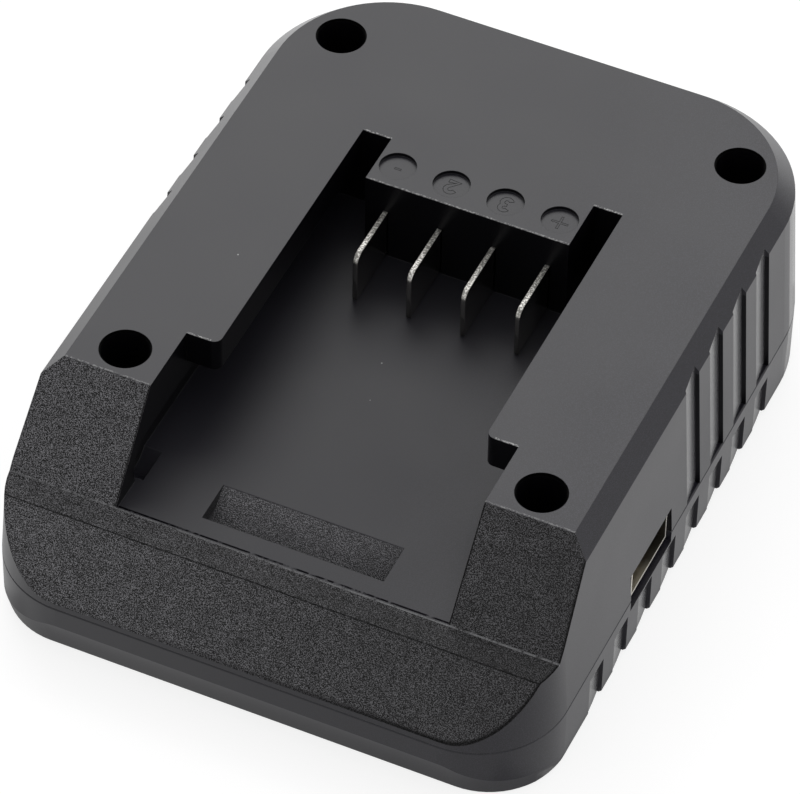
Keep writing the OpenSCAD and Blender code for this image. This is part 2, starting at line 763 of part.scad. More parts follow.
// Folded sheet shell with spring-finger slots in its upper and lower faces
module usb_shell() {
    s = usb_sheet;
    color([0.72, 0.7, 0.66]) difference() {
        block([usb_back_x, usb_face_x], [usb_y - usb_w / 2, usb_y + usb_w / 2],
            [board_top_z, board_top_z + usb_h]);
        block([usb_back_x - over, usb_face_x + over], [usb_y - usb_w / 2 + s, usb_y + usb_w / 2 - s],
            [board_top_z + s, board_top_z + usb_h - s]);
        for (y = [-3.3, 3.3]) block([usb_face_x - 6.5, usb_face_x - 2.2], [usb_y + y - 0.9,
            usb_y + y + 0.9], [board_top_z - over, board_top_z + usb_h + over]);
    }
    color([0.72, 0.7, 0.66]) for (y = [-3.3, 3.3]) for (z = [0, usb_h - s])
        block([usb_face_x - 6.5, usb_face_x - 3.2], [usb_y + y - 0.6, usb_y + y + 0.6],
            [board_top_z + z, board_top_z + z + s]);
}

// Moulded insert: a plug at the back of the shell and the contact tongue
module usb_insulator() {
    s = usb_sheet + seat;
    color([0.85, 0.85, 0.83]) {
        block([usb_back_x, usb_back_x + 3], [usb_y - usb_w / 2 + s, usb_y + usb_w / 2 - s],
            [board_top_z + s, board_top_z + usb_h - s]);
        block([usb_back_x + 3 - seat, usb_face_x - 1.2], [usb_y - 5.55, usb_y + 5.55],
            [usb_tongue_z, usb_tongue_z + 1.84]);
    }
}

module usb_contacts() {
    t = 0.2;
    color([0.8, 0.65, 0.3]) for (y = [-3.5, -1, 1, 3.5])
        block([usb_back_x + 3 + seat, usb_face_x - 2], [usb_y + y - 0.55, usb_y + y + 0.55],
            [usb_tongue_z - t, usb_tongue_z]);
}

// Two-pin inlet: a body on the board and a snout with a figure-of-eight mouth
module mains_inlet() {
    face_y = half_l - lean(inlet_z + inlet_h / 2) - seat;
    lobe = inlet_h - 1.4;
    foot_l = 8;
    color([0.06, 0.06, 0.06]) difference() {
        union() {
            block([-inlet_w / 2, inlet_w / 2], [inlet_inner_y - foot_l, face_y],
                [seam_z + slip, seam_z + slip + inlet_h]);
            block([-inlet_w / 2 + 1, inlet_w / 2 - 1], [inlet_inner_y - foot_l, tab_rear_y],
                [board_top_z, seam_z + 2 * slip]);
        }
        for (x = [-pin_pitch / 2, pin_pitch / 2]) translate([x, face_y + over, inlet_z])
            rotate([90, 0, 0]) cylinder(d = lobe, h = inlet_depth - 2 + over);
        block([-pin_pitch / 2, pin_pitch / 2], [face_y - inlet_depth + 2, face_y + over],
            [inlet_z - lobe / 2 + 0.9, inlet_z + lobe / 2 - 0.9]);
        for (x = [-pin_pitch / 2, pin_pitch / 2]) translate([x, face_y, inlet_z])
            rotate([90, 0, 0]) cylinder(d = pin_d + 2 * seat, h = 40);
    }
}

// Pins with rounded tips, held in the back of the inlet
module inlet_pins() {
    face_y = half_l - lean(inlet_z + inlet_h / 2) - seat;
    tip_y = face_y - 1.4;
    color([0.78, 0.77, 0.74]) for (x = [-pin_pitch / 2, pin_pitch / 2])
        translate([x, 0, inlet_z]) {
            translate([0, tip_y - pin_d / 2, 0]) rotate([90, 0, 0]) cylinder(d = pin_d, h = inlet_depth);
            translate([0, tip_y - pin_d / 2, 0]) sphere(d = pin_d);
        }
}

led_x = -half_w + wall + 3.6;

module charge_led() {
    color([0.3, 0.8, 0.3]) translate([led_x, usb_y, board_top_z]) {
        block([0, 1.8], [-1.4, 1.4], [0, pipe_z() - board_top_z + 1.2]);
    }
}

// Light pipe: a rod flush with the wall and a collar inside it
module light_pipe() {
    face = half_w - lean(pipe_z()) - seat;
    color([0.85, 0.88, 0.85]) translate([0, usb_y, pipe_z()]) rotate([0, -90, 0]) {
        translate([0, 0, -led_x + seat]) cylinder(d = pipe_d, h = face + led_x - seat);
        translate([0, 0, -led_x + seat]) cylinder(d = pipe_d + 1.4, h = 2.2);
    }
}

case_head_h = 2;
screw_tip_z = cover_floor_z + 0.8;

// Pan-head screw with a cross recess, its head seated at z = 0 and its shank below
module pan_screw(shank_d, shank_l, head_d, head_h) {
    recess = 0.55;
    difference() {
        union() {
            cylinder(d1 = head_d, d2 = head_d * 0.8, h = head_h);
            translate([0, 0, -shank_l]) cylinder(d = shank_d, h = shank_l + seat);
        }
        for (a = [0, 90]) rotate(a) block([-head_d * recess / 2, head_d * recess / 2],
            [-0.35, 0.35], [head_h / 2, head_h + over]);
    }
}

module case_screws() {
    color([0.35, 0.35, 0.37]) at_screws() translate([0, 0, well_floor_z])
        pan_screw(case_screw_d, well_floor_z - screw_tip_z, case_head_d, case_head_h);
}

board_screw_r = 1.1;

module board_screws() {
    color([0.75, 0.75, 0.77]) for (p = BOARD_SCREWS) translate([p[0], p[1], board_top_z])
        pan_screw(2 * board_screw_r, board_top_z - cover_floor_z - 1, 4.2, 1.5);
}

module rubber_feet() {
    color([0.03, 0.03, 0.03]) for (p = FEET) translate([p[0], p[1], 0])
        cylinder(r1 = foot_r - foot_h / 2, r2 = foot_r, h = foot_h / 2);
    color([0.03, 0.03, 0.03]) for (p = FEET) translate([p[0], p[1], foot_h / 2])
        cylinder(r = foot_r, h = foot_h / 2 + foot_inset);
}

top_housing();
bottom_cover();
terminal_block();
terminal_blade_1();
terminal_blade_2();
terminal_blade_3();
terminal_blade_4();
circuit_board();
transformer_core();
transformer_bobbin();
transformer_winding();
bulk_capacitor();
output_capacitors();
filter_choke();
choke_core();
input_fuse();
bridge_rectifier();
power_transistor();
heat_sink();
output_inductor();
controller_chips();
safety_capacitor();
usb_shell();
usb_insulator();
usb_contacts();
mains_inlet();
inlet_pins();
charge_led();
light_pipe();
case_screws();
board_screws();
rubber_feet();
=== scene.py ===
"""Finishes and small visual pieces for a slide-on power tool battery charger."""

import math
from types import SimpleNamespace

import bpy
import numpy as np
from mathutils import Matrix, Vector


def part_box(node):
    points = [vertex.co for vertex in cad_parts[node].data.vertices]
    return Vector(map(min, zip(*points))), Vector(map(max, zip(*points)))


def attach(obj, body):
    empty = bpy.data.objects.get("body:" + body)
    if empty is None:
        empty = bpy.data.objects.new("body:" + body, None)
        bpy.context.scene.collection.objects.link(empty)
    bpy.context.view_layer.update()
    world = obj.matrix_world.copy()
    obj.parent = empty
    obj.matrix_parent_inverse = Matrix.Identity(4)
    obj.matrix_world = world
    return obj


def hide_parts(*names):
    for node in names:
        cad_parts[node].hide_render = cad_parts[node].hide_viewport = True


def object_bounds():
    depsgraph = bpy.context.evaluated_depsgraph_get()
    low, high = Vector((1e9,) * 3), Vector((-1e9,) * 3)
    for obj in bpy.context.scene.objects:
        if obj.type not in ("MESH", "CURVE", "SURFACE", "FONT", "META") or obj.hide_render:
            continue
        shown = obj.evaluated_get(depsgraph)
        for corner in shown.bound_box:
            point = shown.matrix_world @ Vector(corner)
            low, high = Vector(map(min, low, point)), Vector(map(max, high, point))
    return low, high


bl_info = {
    "name": "Battery charger finishes",
    "version": (1, 0, 0),
    "blender": (4, 5, 0),
    "location": "3D View > Sidebar > Charger",
    "description": "Blades, marks, moulded plastic and the stage of a slide-on battery charger",
    "category": "Object",
}

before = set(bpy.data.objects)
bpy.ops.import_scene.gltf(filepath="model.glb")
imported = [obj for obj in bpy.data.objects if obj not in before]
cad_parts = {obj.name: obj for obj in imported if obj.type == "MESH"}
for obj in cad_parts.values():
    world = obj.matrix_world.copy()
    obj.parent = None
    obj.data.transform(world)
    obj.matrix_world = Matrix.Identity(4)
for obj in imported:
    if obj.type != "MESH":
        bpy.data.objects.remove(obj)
CAD_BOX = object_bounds()
MM = 0.001
BLADES = [f"terminal_blade_{i}" for i in (1, 2, 3, 4)]


def node_box_mm(node):
    """Lowest and highest corner of a CAD node as two numpy rows, in millimetres."""
    return np.array([list(corner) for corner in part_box(node)]) / MM


BLADE_BOX = [node_box_mm(name) for name in BLADES]

# Places on the body, in millimetres. The flat top, and half the body's width and length
TOP_Z = float(node_box_mm("top_housing")[1, 2])
BODY_HALF = (np.array(CAD_BOX[1]) / MM)[:2].tolist()
# The bay: its depth, half the width of its open end, how deep inside the outline its walls
# start, and where the painted shade on its walls ends
BAY = {"depth": 14.7, "half_x": 26.3, "inside": 5.0, "rear_y": 30.0}
FLOOR_Z = TOP_Z - BAY["depth"]
# The nose's profile from its lower edge over the bend to the crease, and how far the upper
# slope runs back from there
NOSE = {"edge_y": -59.14, "edge_z": 11.45, "bend_y": -51.0, "bend_z": 21.35,
        "crease_y": -47.0, "crease_z": 21.9, "slope_run": 11.75}
# The front corner arcs in plan, and the walls' draft over the parting line
OUTLINE = {"centre_x": 30.3, "centre_y": -45.2, "radius": 14.0, "draft": 0.06, "seam_z": 10.4}
# The catch pocket, the driver wells, and the steps at the ends of the grip grooves
POCKET = {"centre_y": -39.5, "half_y": 4.0, "half_x": 14.45}
WELLS = {"x": 32.85, "front_y": -30.2, "rear_y": 43.4, "radius": 4.2}
GRIP = {"side_x": 42.2, "top_z": 33.0}
# Chipped edges of the flat top: y, the run's centre and half length across, and its weight
CHIPPED = ((16.95, 0.0, 16.4, 0.5), (26.1, 18.8, 2.3, 0.8),
           (-23.5, 24.4, 1.9, 0.8), (-35.25, 34.0, 7.7, 0.35))

# Colours that the moulding's masks lay over it
# Painted shade: near black, laid where inner faces and fine gaps fall in shade
SHADE_BLACK = (0.001, 0.001, 0.001, 1)
# Painted highlight laid along the moulding's edges
EDGE_HIGHLIGHT = (0.1, 0.1, 0.103, 1)
GRAIN_DARK = (0.004, 0.004, 0.004, 1)
GRAIN_PALE = (0.225, 0.222, 0.236, 1)
# Painted highlight laid along the crease
CREASE_HIGHLIGHT = (0.26, 0.26, 0.27, 1)
CHIP_GREY = (0.42, 0.42, 0.42, 1)
WORN_GREY = (0.3, 0.3, 0.3, 1)
DUST_GREY = (0.35, 0.35, 0.35, 1)

# Soft edges of small parts, in metres, and the fine grain's cell in millimetres and bump
PLASTIC_RADIUS = 0.0002
METAL_RADIUS = 0.00012
FINE_CELL = 0.14
FINE_BUMP = 0.013
# How far the shading normal leans to the front on the grip grooves' floors
GROOVE_LEAN = (0, -0.45, 0)

# Rectangular lamps: place and aim in metres, width, height and watts
LAMPS = {
    "key_softbox": ((-0.55, 1.0, 1.15), (0, 0, 0.03), 1.25, 1.0, 7.3),
    "side_softbox": ((1.3, 0.35, 0.5), (0, 0, 0.02), 0.9, 0.6, 1.3),
}
WORLD_STRENGTH = 0.66
# The floor sheet's disc, in metres, and the slope of the painted light that reflections see
# on it, rising towards the key lamp along x and y, per mm
SHEET = {"inner": 0.02, "outer": 3.0, "rings": 60, "sectors": 96, "z": -1e-5}
LAMP_SLOPE = (-0.0039, 0.0066)

# Steps of a blade's rounded rim, the least divisor of a mitre, and the share of an engraved
# line's width that its crest takes
RIM_STEPS = 4
MITRE_LIMIT = 0.6
CREST_SHARE = 0.6
# An engraved line's foot and crest, in millimetres over its recess's floor
MARK_HEIGHTS = (-0.05, 0.02)


# ------------------------------ properties


class ChargerHousingSettings(bpy.types.PropertyGroup):
    """Look of the moulded housing and cover."""

    housing_colour: bpy.props.FloatVectorProperty(
        name="Housing colour", description="Colour of the upper moulding",
        subtype="COLOR", size=4, min=0, max=1, default=(0.0095, 0.0089, 0.013, 1))
    cover_colour: bpy.props.FloatVectorProperty(
        name="Cover colour", description="Colour of the lower moulding",
        subtype="COLOR", size=4, min=0, max=1, default=(0.0095, 0.0089, 0.013, 1))
    edge_radius: bpy.props.FloatProperty(
        name="Edge radius", description="Radius of the softened moulding edges",
        unit="LENGTH", default=0.00011, min=0, precision=5)
    stipple_cell: bpy.props.FloatProperty(
        name="Stipple cell", description="Size of one grain of the textured nose",
        unit="LENGTH", default=0.00015, min=0.00005, precision=5)


class ChargerBladeSettings(bpy.types.PropertyGroup):
    """Sizes of the contact blades."""

    foot_z: bpy.props.FloatProperty(
        name="Lower edge", description="Height of the blades' lower edge over the ground",
        unit="LENGTH", default=0.02175, precision=5)
    tail_length: bpy.props.FloatProperty(
        name="Tail length", description="Length of the tail that goes into the board",
        unit="LENGTH", default=0.003, precision=5)
    corner_radius: bpy.props.FloatProperty(
        name="Corner radius", description="Radius of the upper front corner",
        unit="LENGTH", default=0.0017, precision=5)
    edge_radius: bpy.props.FloatProperty(
        name="Edge radius", description="Radius of the blades' coined edges",
        unit="LENGTH", default=0.00012, precision=5)
    colour: bpy.props.FloatVectorProperty(
        name="Blade colour", description="Colour of the nickel plating",
        subtype="COLOR", size=4, min=0, max=1, default=(0.72, 0.70, 0.66, 1))


class ChargerMarkSettings(bpy.types.PropertyGroup):
    """Sizes of the polarity marks."""

    centre_y: bpy.props.FloatProperty(
        name="Centre", description="Distance of the marks from the middle of the body",
        unit="LENGTH", default=0.02125, precision=5)
    recess_depth: bpy.props.FloatProperty(
        name="Recess depth", description="Depth of the round recesses that hold the marks",
        unit="LENGTH", default=0.0006, precision=5)
    stroke: bpy.props.FloatProperty(
        name="Stroke", description="Width of the strokes",
        unit="LENGTH", default=0.0007, precision=5)
    line: bpy.props.FloatProperty(
        name="Line", description="Width of the engraved outline",
        unit="LENGTH", default=0.00013, precision=5)
    colour: bpy.props.FloatVectorProperty(
        name="Line colour", description="Colour of the engraved outline",
        subtype="COLOR", size=4, min=0, max=1, default=(0.004, 0.004, 0.004, 1))


class ChargerStageSettings(bpy.types.PropertyGroup):
    """Camera, lamps and floor."""

    azimuth: bpy.props.FloatProperty(
        name="Azimuth", description="Camera's turn from the front towards the right side",
        subtype="ANGLE", unit="ROTATION", default=math.radians(23.73))
    elevation: bpy.props.FloatProperty(
        name="Elevation", description="Camera's angle above the horizon",
        subtype="ANGLE", unit="ROTATION", default=math.radians(46.29))
    roll: bpy.props.FloatProperty(
        name="Roll", description="Camera's turn about its own axis",
        subtype="ANGLE", unit="ROTATION", default=math.radians(1.31))
    distance: bpy.props.FloatProperty(
        name="Distance", description="Camera's distance from its target",
        unit="LENGTH", default=0.8607)
    target: bpy.props.FloatVectorProperty(
        name="Target", description="Point at the middle of the picture",
        subtype="XYZ", unit="LENGTH", size=3, default=(0.006957, -0.02183, 0.0363), precision=5)
    lens: bpy.props.FloatProperty(
        name="Lens", description="Focal length on a 36 mm sensor, in millimetres",
        unit="CAMERA", default=270.0, min=10)
    floor_colour: bpy.props.FloatVectorProperty(
        name="Floor colour", description="Colour of the floor sheet",
        subtype="COLOR", size=4, min=0, max=1, default=(0.3, 0.3, 0.3, 1))


# ------------------------------ mesh functions


def mesh_piece(name, vertices, faces, smooth=True):
    """Object from vertices in millimetres, placed in its mesh and riding on the body."""
    mesh = bpy.data.meshes.new(name)
    mesh.from_pydata((np.asarray(vertices) * MM).tolist(), [], faces)
    mesh.validate()
    mesh.polygons.foreach_set("use_smooth", [smooth] * len(mesh.polygons))
    mesh.update()
    piece = bpy.data.objects.new(name, mesh)
    bpy.context.scene.collection.objects.link(piece)
    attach(piece, "root")
    return piece


def grid_faces(rows, columns):
    """Quads of a grid of rows by columns that closes on itself along its columns."""
    r, c = np.meshgrid(np.arange(rows - 1), np.arange(columns), indexing="ij")
    near, far = r * columns + c, (r + 1) * columns + c
    step = np.where(c == columns - 1, 1 - columns, 1)
    return np.stack([near, near + step, far + step, far], axis=-1).reshape(-1, 4).tolist()


def inward_offset(outline):
    """For each corner of an anticlockwise outline, the step that moves both of its edges
    inward by one unit: the sum of the two edge normals over one plus their dot product."""
    edge = np.roll(outline, -1, axis=0) - outline
    edge /= np.linalg.norm(edge, axis=1, keepdims=True)
    normal = np.stack([-edge[:, 1], edge[:, 0]], axis=1)
    before = np.roll(normal, 1, axis=0)
    return (normal + before) / (1 + np.sum(normal * before, axis=1, keepdims=True))


def arc(centre, radius, start, end, count):
    """Points on a circle from one angle to another, in degrees, both ends included."""
    turn = np.radians(np.linspace(start, end, count))
    return np.stack([centre[0] + radius * np.cos(turn), centre[1] + radius * np.sin(turn)], axis=1)


def rounded_plate(outline, low, high, radius):
    """Plate between two heights whose rim is a quarter circle at each face. Ring k stands
    at low + r (1 - cos a) and is drawn in by r (1 - sin a), with a from 0 to 90 degrees,
    and the same again from the other face."""
    turn = np.linspace(0, np.pi / 2, RIM_STEPS + 1)
    rise = radius * (1 - np.cos(turn))
    inset = radius * (1 - np.sin(turn))
    heights = np.concatenate([low + rise, (high - rise)[::-1]])
    insets = np.concatenate([inset, inset[::-1]])
    rings = outline[None] + insets[:, None, None] * inward_offset(outline)[None]
    points = np.concatenate(
        [rings, np.broadcast_to(heights[:, None, None], rings.shape[:2] + (1,))], axis=2)
    count = len(outline)
    faces = grid_faces(len(heights), count)
    last = (len(heights) - 1) * count
    faces.append(list(range(count))[::-1])
    faces.append([last + i for i in range(count)])
    return points.reshape(-1, 3), faces


def blade_points(box, settings):
    """Outline of a blade in the plane of y and z, anticlockwise: a tab over the bay floor
    with a rounded upper front corner, and a tail that goes down into the board."""
    (_, front, tail_z), (_, rear, top) = box
    foot = settings.foot_z / MM
    radius = settings.corner_radius / MM
    tail_y = rear - settings.tail_length / MM
    corner = arc((front + radius, top - radius), radius, 180, 90, 12)
    loop = np.concatenate([
        [[front, foot]], corner, [[rear, top], [rear, tail_z], [tail_y, tail_z], [tail_y, foot]]])
    return loop[::-1]


def outline_of(path, half):
    """Outline of a stroke: the path moved out by half to its left, then back on its right.
    A corner moves along the sum of its two edge normals over one plus their dot product,
    which is kept above a limit so that a sharp turn has a short mitre."""
    path = np.asarray(path, float)
    edge = np.diff(path, axis=0)
    edge /= np.linalg.norm(edge, axis=1, keepdims=True)
    normal = np.stack([-edge[:, 1], edge[:, 0]], axis=1)
    first, last = np.concatenate([normal[:1], normal]), np.concatenate([normal, normal[-1:]])
    divisor = 1 + np.sum(first * last, axis=1, keepdims=True)
    step = (first + last) / np.maximum(MITRE_LIMIT, divisor)
    return np.concatenate([path + half * step, (path - half * step)[::-1]])


def ribbon_loop(outline, half, low, high):
    """Closed bead along an outline, as four rails: two at its foot, the outline moved in
    and out by half a line's width, and two on top, moved by a share of that."""
    step = half * inward_offset(outline)
    rails = [(outline - step, low), (outline - CREST_SHARE * step, high),
             (outline + CREST_SHARE * step, high), (outline + step, low)]
    count = len(outline)
    points = np.concatenate([np.column_stack([rail, np.full(count, z)]) for rail, z in rails])
    faces = grid_faces(len(rails), count)
    near = np.arange(count)
    far = np.roll(near, -1)
    last = (len(rails) - 1) * count
    close = np.stack([last + near, last + far, far, near], axis=1)
    return points, faces + close.tolist()


def anticlockwise(outline):
    """The outline, reversed if its signed area is negative."""
    x, y = outline[:, 0], outline[:, 1]
    area = np.sum(x * np.roll(y, -1) - y * np.roll(x, -1))
    return outline if area > 0 else outline[::-1]


def mark_outlines(stroke):
    """Outlines of the four marks in millimetres, upright and centred: minus, two, three
    and plus. Two is a stroke of constant width; three is two wide rings that meet in a
    notch and a short bar."""
    half = stroke / 2
    bar, reach = 0.45 * half, 1.3
    minus = np.array([[-0.5, -bar], [0.5, -bar], [0.5, bar], [-0.5, bar]])
    arm = np.array([[-bar, -reach], [bar, -reach], [bar, -bar]])
    plus = np.concatenate([arm, arm[:, ::-1] * [-1, 1], -arm, arm[:, ::-1] * [1, -1]])
    two = np.concatenate([arc((0, 0.5), 0.72, 165, -40, 14), [[-0.75, -1.1], [0.8, -1.1]]])
    three = np.concatenate([
        arc((0, 0.6), 0.62 + half, 155, -31, 14), arc((0, -0.55), 0.7 + half, 38, -155, 16),
        arc((0, -0.55), 0.7 - half, -155, 70, 12), [[-0.25, -0.14], [-0.25, 0.28]],
        arc((0, 0.6), 0.62 - half, -70, 155, 12)])
    return [minus, outline_of(two, half), three, plus]


# ------------------------------ shader helpers


def add(tree, kind, inputs=None, **settings):
    """Shader node with its settings, and inputs set to a value or linked to a socket."""
    node = tree.nodes.new(kind)
    for key, value in settings.items():
        setattr(node, key, value)
    for key, value in (inputs or {}).items():
        socket = node.inputs[key]
        if isinstance(value, bpy.types.NodeSocket):
            tree.links.new(value, socket)
        else:
            socket.default_value = value
    return node


def connect(tree, node, **sockets):
    """Links outputs to a node's inputs."""
    for key, value in sockets.items():
        tree.links.new(value, node.inputs[key.replace("_", " ")])


def maths(tree, operation, first, *others):
    """Output of a Math node, or of a chain of them that takes the values in one by one."""
    if not others:
        return add(tree, "ShaderNodeMath", {0: first}, operation=operation).outputs[0]
    for other in others:
        first = add(tree, "ShaderNodeMath", {0: first, 1: other}, operation=operation).outputs[0]
    return first


def all_of(tree, *masks):
    """Product of masks and weights."""
    return maths(tree, "MULTIPLY", *masks)


def any_of(tree, *masks):
    """Largest of masks."""
    return maths(tree, "MAXIMUM", *masks)


def ramp(tree, value, start, end, low=0.0, high=1.0):
    """Value carried from start..end to low..high along a straight line, clamped."""
    node = add(tree, "ShaderNodeMapRange", {
        "Value": value, "From Min": start, "From Max": end, "To Min": low, "To Max": high})
    return node.outputs["Result"]


def band(tree, value, centre, half, soft=0.05):
    """One where a value is within half of a centre, with a soft edge."""
    return ramp(tree, away(tree, value, centre), half + soft, half)


def away(tree, value, centre):
    """How far a value is from a centre, either way."""
    return maths(tree, "ABSOLUTE", maths(tree, "SUBTRACT", value, centre))


def length(tree, across, along):
    """Length of a step in plan, from its two parts."""
    squares = [maths(tree, "MULTIPLY", part, part) for part in (across, along)]
    return maths(tree, "SQRT", maths(tree, "ADD", *squares))


def shifted(tree, value, *steps):
    """Value moved by the amount in each step, where the step's mask is one."""
    for mask, amount in steps:
        value = add(tree, "ShaderNodeMath", {0: mask, 1: amount, 2: value},
                    operation="MULTIPLY_ADD").outputs[0]
    return value


def blend(tree, factor, first, second):
    """Mix of two colours."""
    node = add(tree, "ShaderNodeMix", {0: factor, 6: first, 7: second}, data_type="RGBA")
    return node.outputs[2]


def painted(tree, base, *layers):
    """Base with colours laid over it one after another, each by its own mask."""
    for mask, colour in layers:
        base = blend(tree, mask, base, colour)
    return base


def scaled(colour, share):
    """Share of a colour, no channel over one, and opaque."""
    return tuple(min(1.0, share * channel) for channel in colour[:3]) + (1,)


def noise(tree, place, scale, detail, roughness=0.5):
    """Fractal noise with so many cells in one unit of its place."""
    return add(tree, "ShaderNodeTexNoise", {
        "Vector": place, "Scale": scale, "Detail": detail, "Roughness": roughness}).outputs[0]


def facing(tree, output="True Normal"):
    """Parts along x, y and z of the direction that a face looks in."""
    direction = add(tree, "ShaderNodeNewGeometry").outputs[output]
    return tuple(add(tree, "ShaderNodeSeparateXYZ", {0: direction}).outputs)


def position_mm(tree):
    """Object coordinates in millimetres, whole and as x, y and z."""
    metres = add(tree, "ShaderNodeTexCoord").outputs["Object"]
    place = add(tree, "ShaderNodeVectorMath", {0: metres, "Scale": 1 / MM},
                operation="SCALE").outputs[0]
    return (place, *add(tree, "ShaderNodeSeparateXYZ", {0: place}).outputs)


VECTOR, FLOAT = "NodeSocketVector", "NodeSocketFloat"


def new_group(name, numbers, outputs):
    """Empty shader node group that takes a position and some numbers: its tree, what it is
    given, and its output node."""
    tree = bpy.data.node_groups.new(name, "ShaderNodeTree")
    tree.interface.new_socket("Position", in_out="INPUT", socket_type=VECTOR)
    for key, value in numbers.items():
        tree.interface.new_socket(key, in_out="INPUT", socket_type=FLOAT).default_value = value
    for key, kind in outputs.items():
        tree.interface.new_socket(key, in_out="OUTPUT", socket_type=kind)
    return tree, tree.nodes.new("NodeGroupInput").outputs, tree.nodes.new("NodeGroupOutput")


def place_group(tree, name, inputs):
    """A shared group placed in a material, and made when it is first asked for."""
    group = bpy.data.node_groups.get(name) or GROUPS[name](name)
    return add(tree, "ShaderNodeGroup", inputs, node_tree=group).outputs


def grain_group(name):
    """Moulded grain: fractal noise whose grains are one cell across, as a height and a
    shade that is spread over its whole range."""
    tree, given, result = new_group(name, {"Cell": 0.4}, {"Height": FLOAT, "Shade": FLOAT})
    scale = maths(tree, "DIVIDE", 1.0, given["Cell"])
    height = noise(tree, given["Position"], scale, 1.0)
    connect(tree, result, Height=height, Shade=ramp(tree, height, 0.46, 0.6))
    return tree


def edge_group(name):
    """Soft edges: a rounded normal, a mask of edges from how far it turns, and a mask of
    those that are worn, in patches."""
    tree, given, result = new_group(name, {"Radius": 0.0003, "Patchiness": 0.5},
                                    {"Normal": VECTOR, "Edge": FLOAT, "Wear": FLOAT})
    rounded = add(tree, "ShaderNodeBevel", {"Radius": given["Radius"]}, samples=6).outputs[0]
    plain = add(tree, "ShaderNodeNewGeometry").outputs["True Normal"]
    agree = add(tree, "ShaderNodeVectorMath", {0: rounded, 1: plain}, operation="DOT_PRODUCT")
    edge = ramp(tree, agree.outputs["Value"], 0.99, 0.88)
    patches = noise(tree, given["Position"], 2.6, 4.0, 0.75)
    start = shifted(tree, 0.85, (given["Patchiness"], -0.4))
    worn = ramp(tree, maths(tree, "SUBTRACT", patches, start), 0.0, 0.1)
    connect(tree, result, Normal=rounded, Edge=edge, Wear=all_of(tree, edge, worn))
    return tree


def dust_group(name):
    """Dust: small pale specks, in about half of the cells, on faces that look up."""
    tree, given, result = new_group(name, {"Spacing": 4.0, "Size": 0.03}, {"Mask": FLOAT})
    cells = add(tree, "ShaderNodeTexVoronoi", {
        "Vector": given["Position"],
        "Scale": maths(tree, "DIVIDE", 1.0, given["Spacing"])}).outputs
    near = maths(tree, "LESS_THAN", cells["Distance"], given["Size"])
    chance = add(tree, "ShaderNodeSeparateColor", {0: cells["Color"]}).outputs[0]
    kept = maths(tree, "GREATER_THAN", chance, 0.45)
    up = ramp(tree, facing(tree, "Normal")[2], 0.3, 0.7)
    connect(tree, result, Mask=all_of(tree, near, kept, up))
    return tree


GROUPS = {"Moulded grain": grain_group, "Soft edges": edge_group, "Dust specks": dust_group}


def new_material(name, **sockets):
    """Material with a Principled BSDF whose plain values are set on its own sockets."""
    material = bpy.data.materials.new(name)
    material.use_nodes = True
    tree = material.node_tree
    tree.nodes.clear()
    shader = add(tree, "ShaderNodeBsdfPrincipled", {
        key.replace("_", " "): value for key, value in sockets.items()})
    output = tree.nodes.new("ShaderNodeOutputMaterial")
    tree.links.new(shader.outputs[0], output.inputs["Surface"])
    return material, tree, shader


def dress(targets, material):
    """Gives one material to a piece, a CAD node or several CAD nodes."""
    for target in targets if isinstance(targets, tuple) else (targets,):
        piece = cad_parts[target] if isinstance(target, str) else target
        piece.data.materials.clear()
        piece.data.materials.append(material)


def bump(tree, height, normal, strength, distance):
    """Bump over a normal."""
    inputs = {"Height": height, "Strength": strength, "Distance": distance}
    if normal is not None:
        inputs["Normal"] = normal
    return add(tree, "ShaderNodeBump", inputs).outputs[0]


# ------------------------------ materials


def body_point(tree):
    """What the body's masks read: the place in millimetres, whole and as x, y and z, its
    distance from the middle plane, its depth inside the front outline, and how far the
    face looks along each axis, either way."""
    place, x, y, z = position_mm(tree)
    aside = maths(tree, "ABSOLUTE", x)
    return SimpleNamespace(
        place=place, x=x, y=y, z=z, aside=aside, depth=rim_distance(tree, aside, y, z),
        looks=[maths(tree, "ABSOLUTE", part) for part in facing(tree)])


def rim_distance(tree, aside, y, z):
    """Distance inside the body's front outline in plan: with the steps across and ahead
    measured from the corner arcs' centres and r the radius less the draft, r minus the
    length of their positive parts, minus the larger one where neither is positive."""
    steps = [maths(tree, "SUBTRACT", aside, OUTLINE["centre_x"]),
             maths(tree, "SUBTRACT", OUTLINE["centre_y"], y)]
    outer = length(tree, *(maths(tree, "MAXIMUM", step, 0.0) for step in steps))
    inner = maths(tree, "MINIMUM", maths(tree, "MAXIMUM", *steps), 0.0)
    rise = maths(tree, "MAXIMUM", maths(tree, "SUBTRACT", z, OUTLINE["seam_z"]), 0.0)
    radius = shifted(tree, OUTLINE["radius"], (rise, -OUTLINE["draft"]))
    return maths(tree, "SUBTRACT", radius, outer, inner)


def profile_y(tree, z):
    """Nose profile: its y at each height, the sum of three straight clamped runs."""
    ledge = NOSE["crease_y"] - NOSE["bend_y"]
    return maths(
        tree, "ADD",
        ramp(tree, z, NOSE["edge_z"], NOSE["bend_z"], NOSE["edge_y"], NOSE["bend_y"]),
        ramp(tree, z, NOSE["bend_z"], NOSE["crease_z"], 0.0, ledge),
        ramp(tree, z, NOSE["crease_z"], TOP_Z, 0.0, NOSE["slope_run"]))


def nose_mask(tree, at):
    """One on the textured nose slopes: close behind the profile, between its ends."""
    behind = maths(tree, "SUBTRACT", at.y, profile_y(tree, at.z))
    return all_of(tree, ramp(tree, behind, 0.2, 0.1),
                  ramp(tree, at.z, NOSE["edge_z"] - 0.02, NOSE["edge_z"] + 0.03),
                  ramp(tree, at.z, TOP_Z - 0.02, TOP_Z - 0.1))


def pocket_mask(tree, at):
    """One on the catch pocket's ramp."""
    return all_of(tree, ramp(tree, at.z, FLOOR_Z - 0.05, FLOOR_Z - 0.15),
                  band(tree, at.y, POCKET["centre_y"], POCKET["half_y"]),
                  band(tree, at.x, 0.0, POCKET["half_x"]))


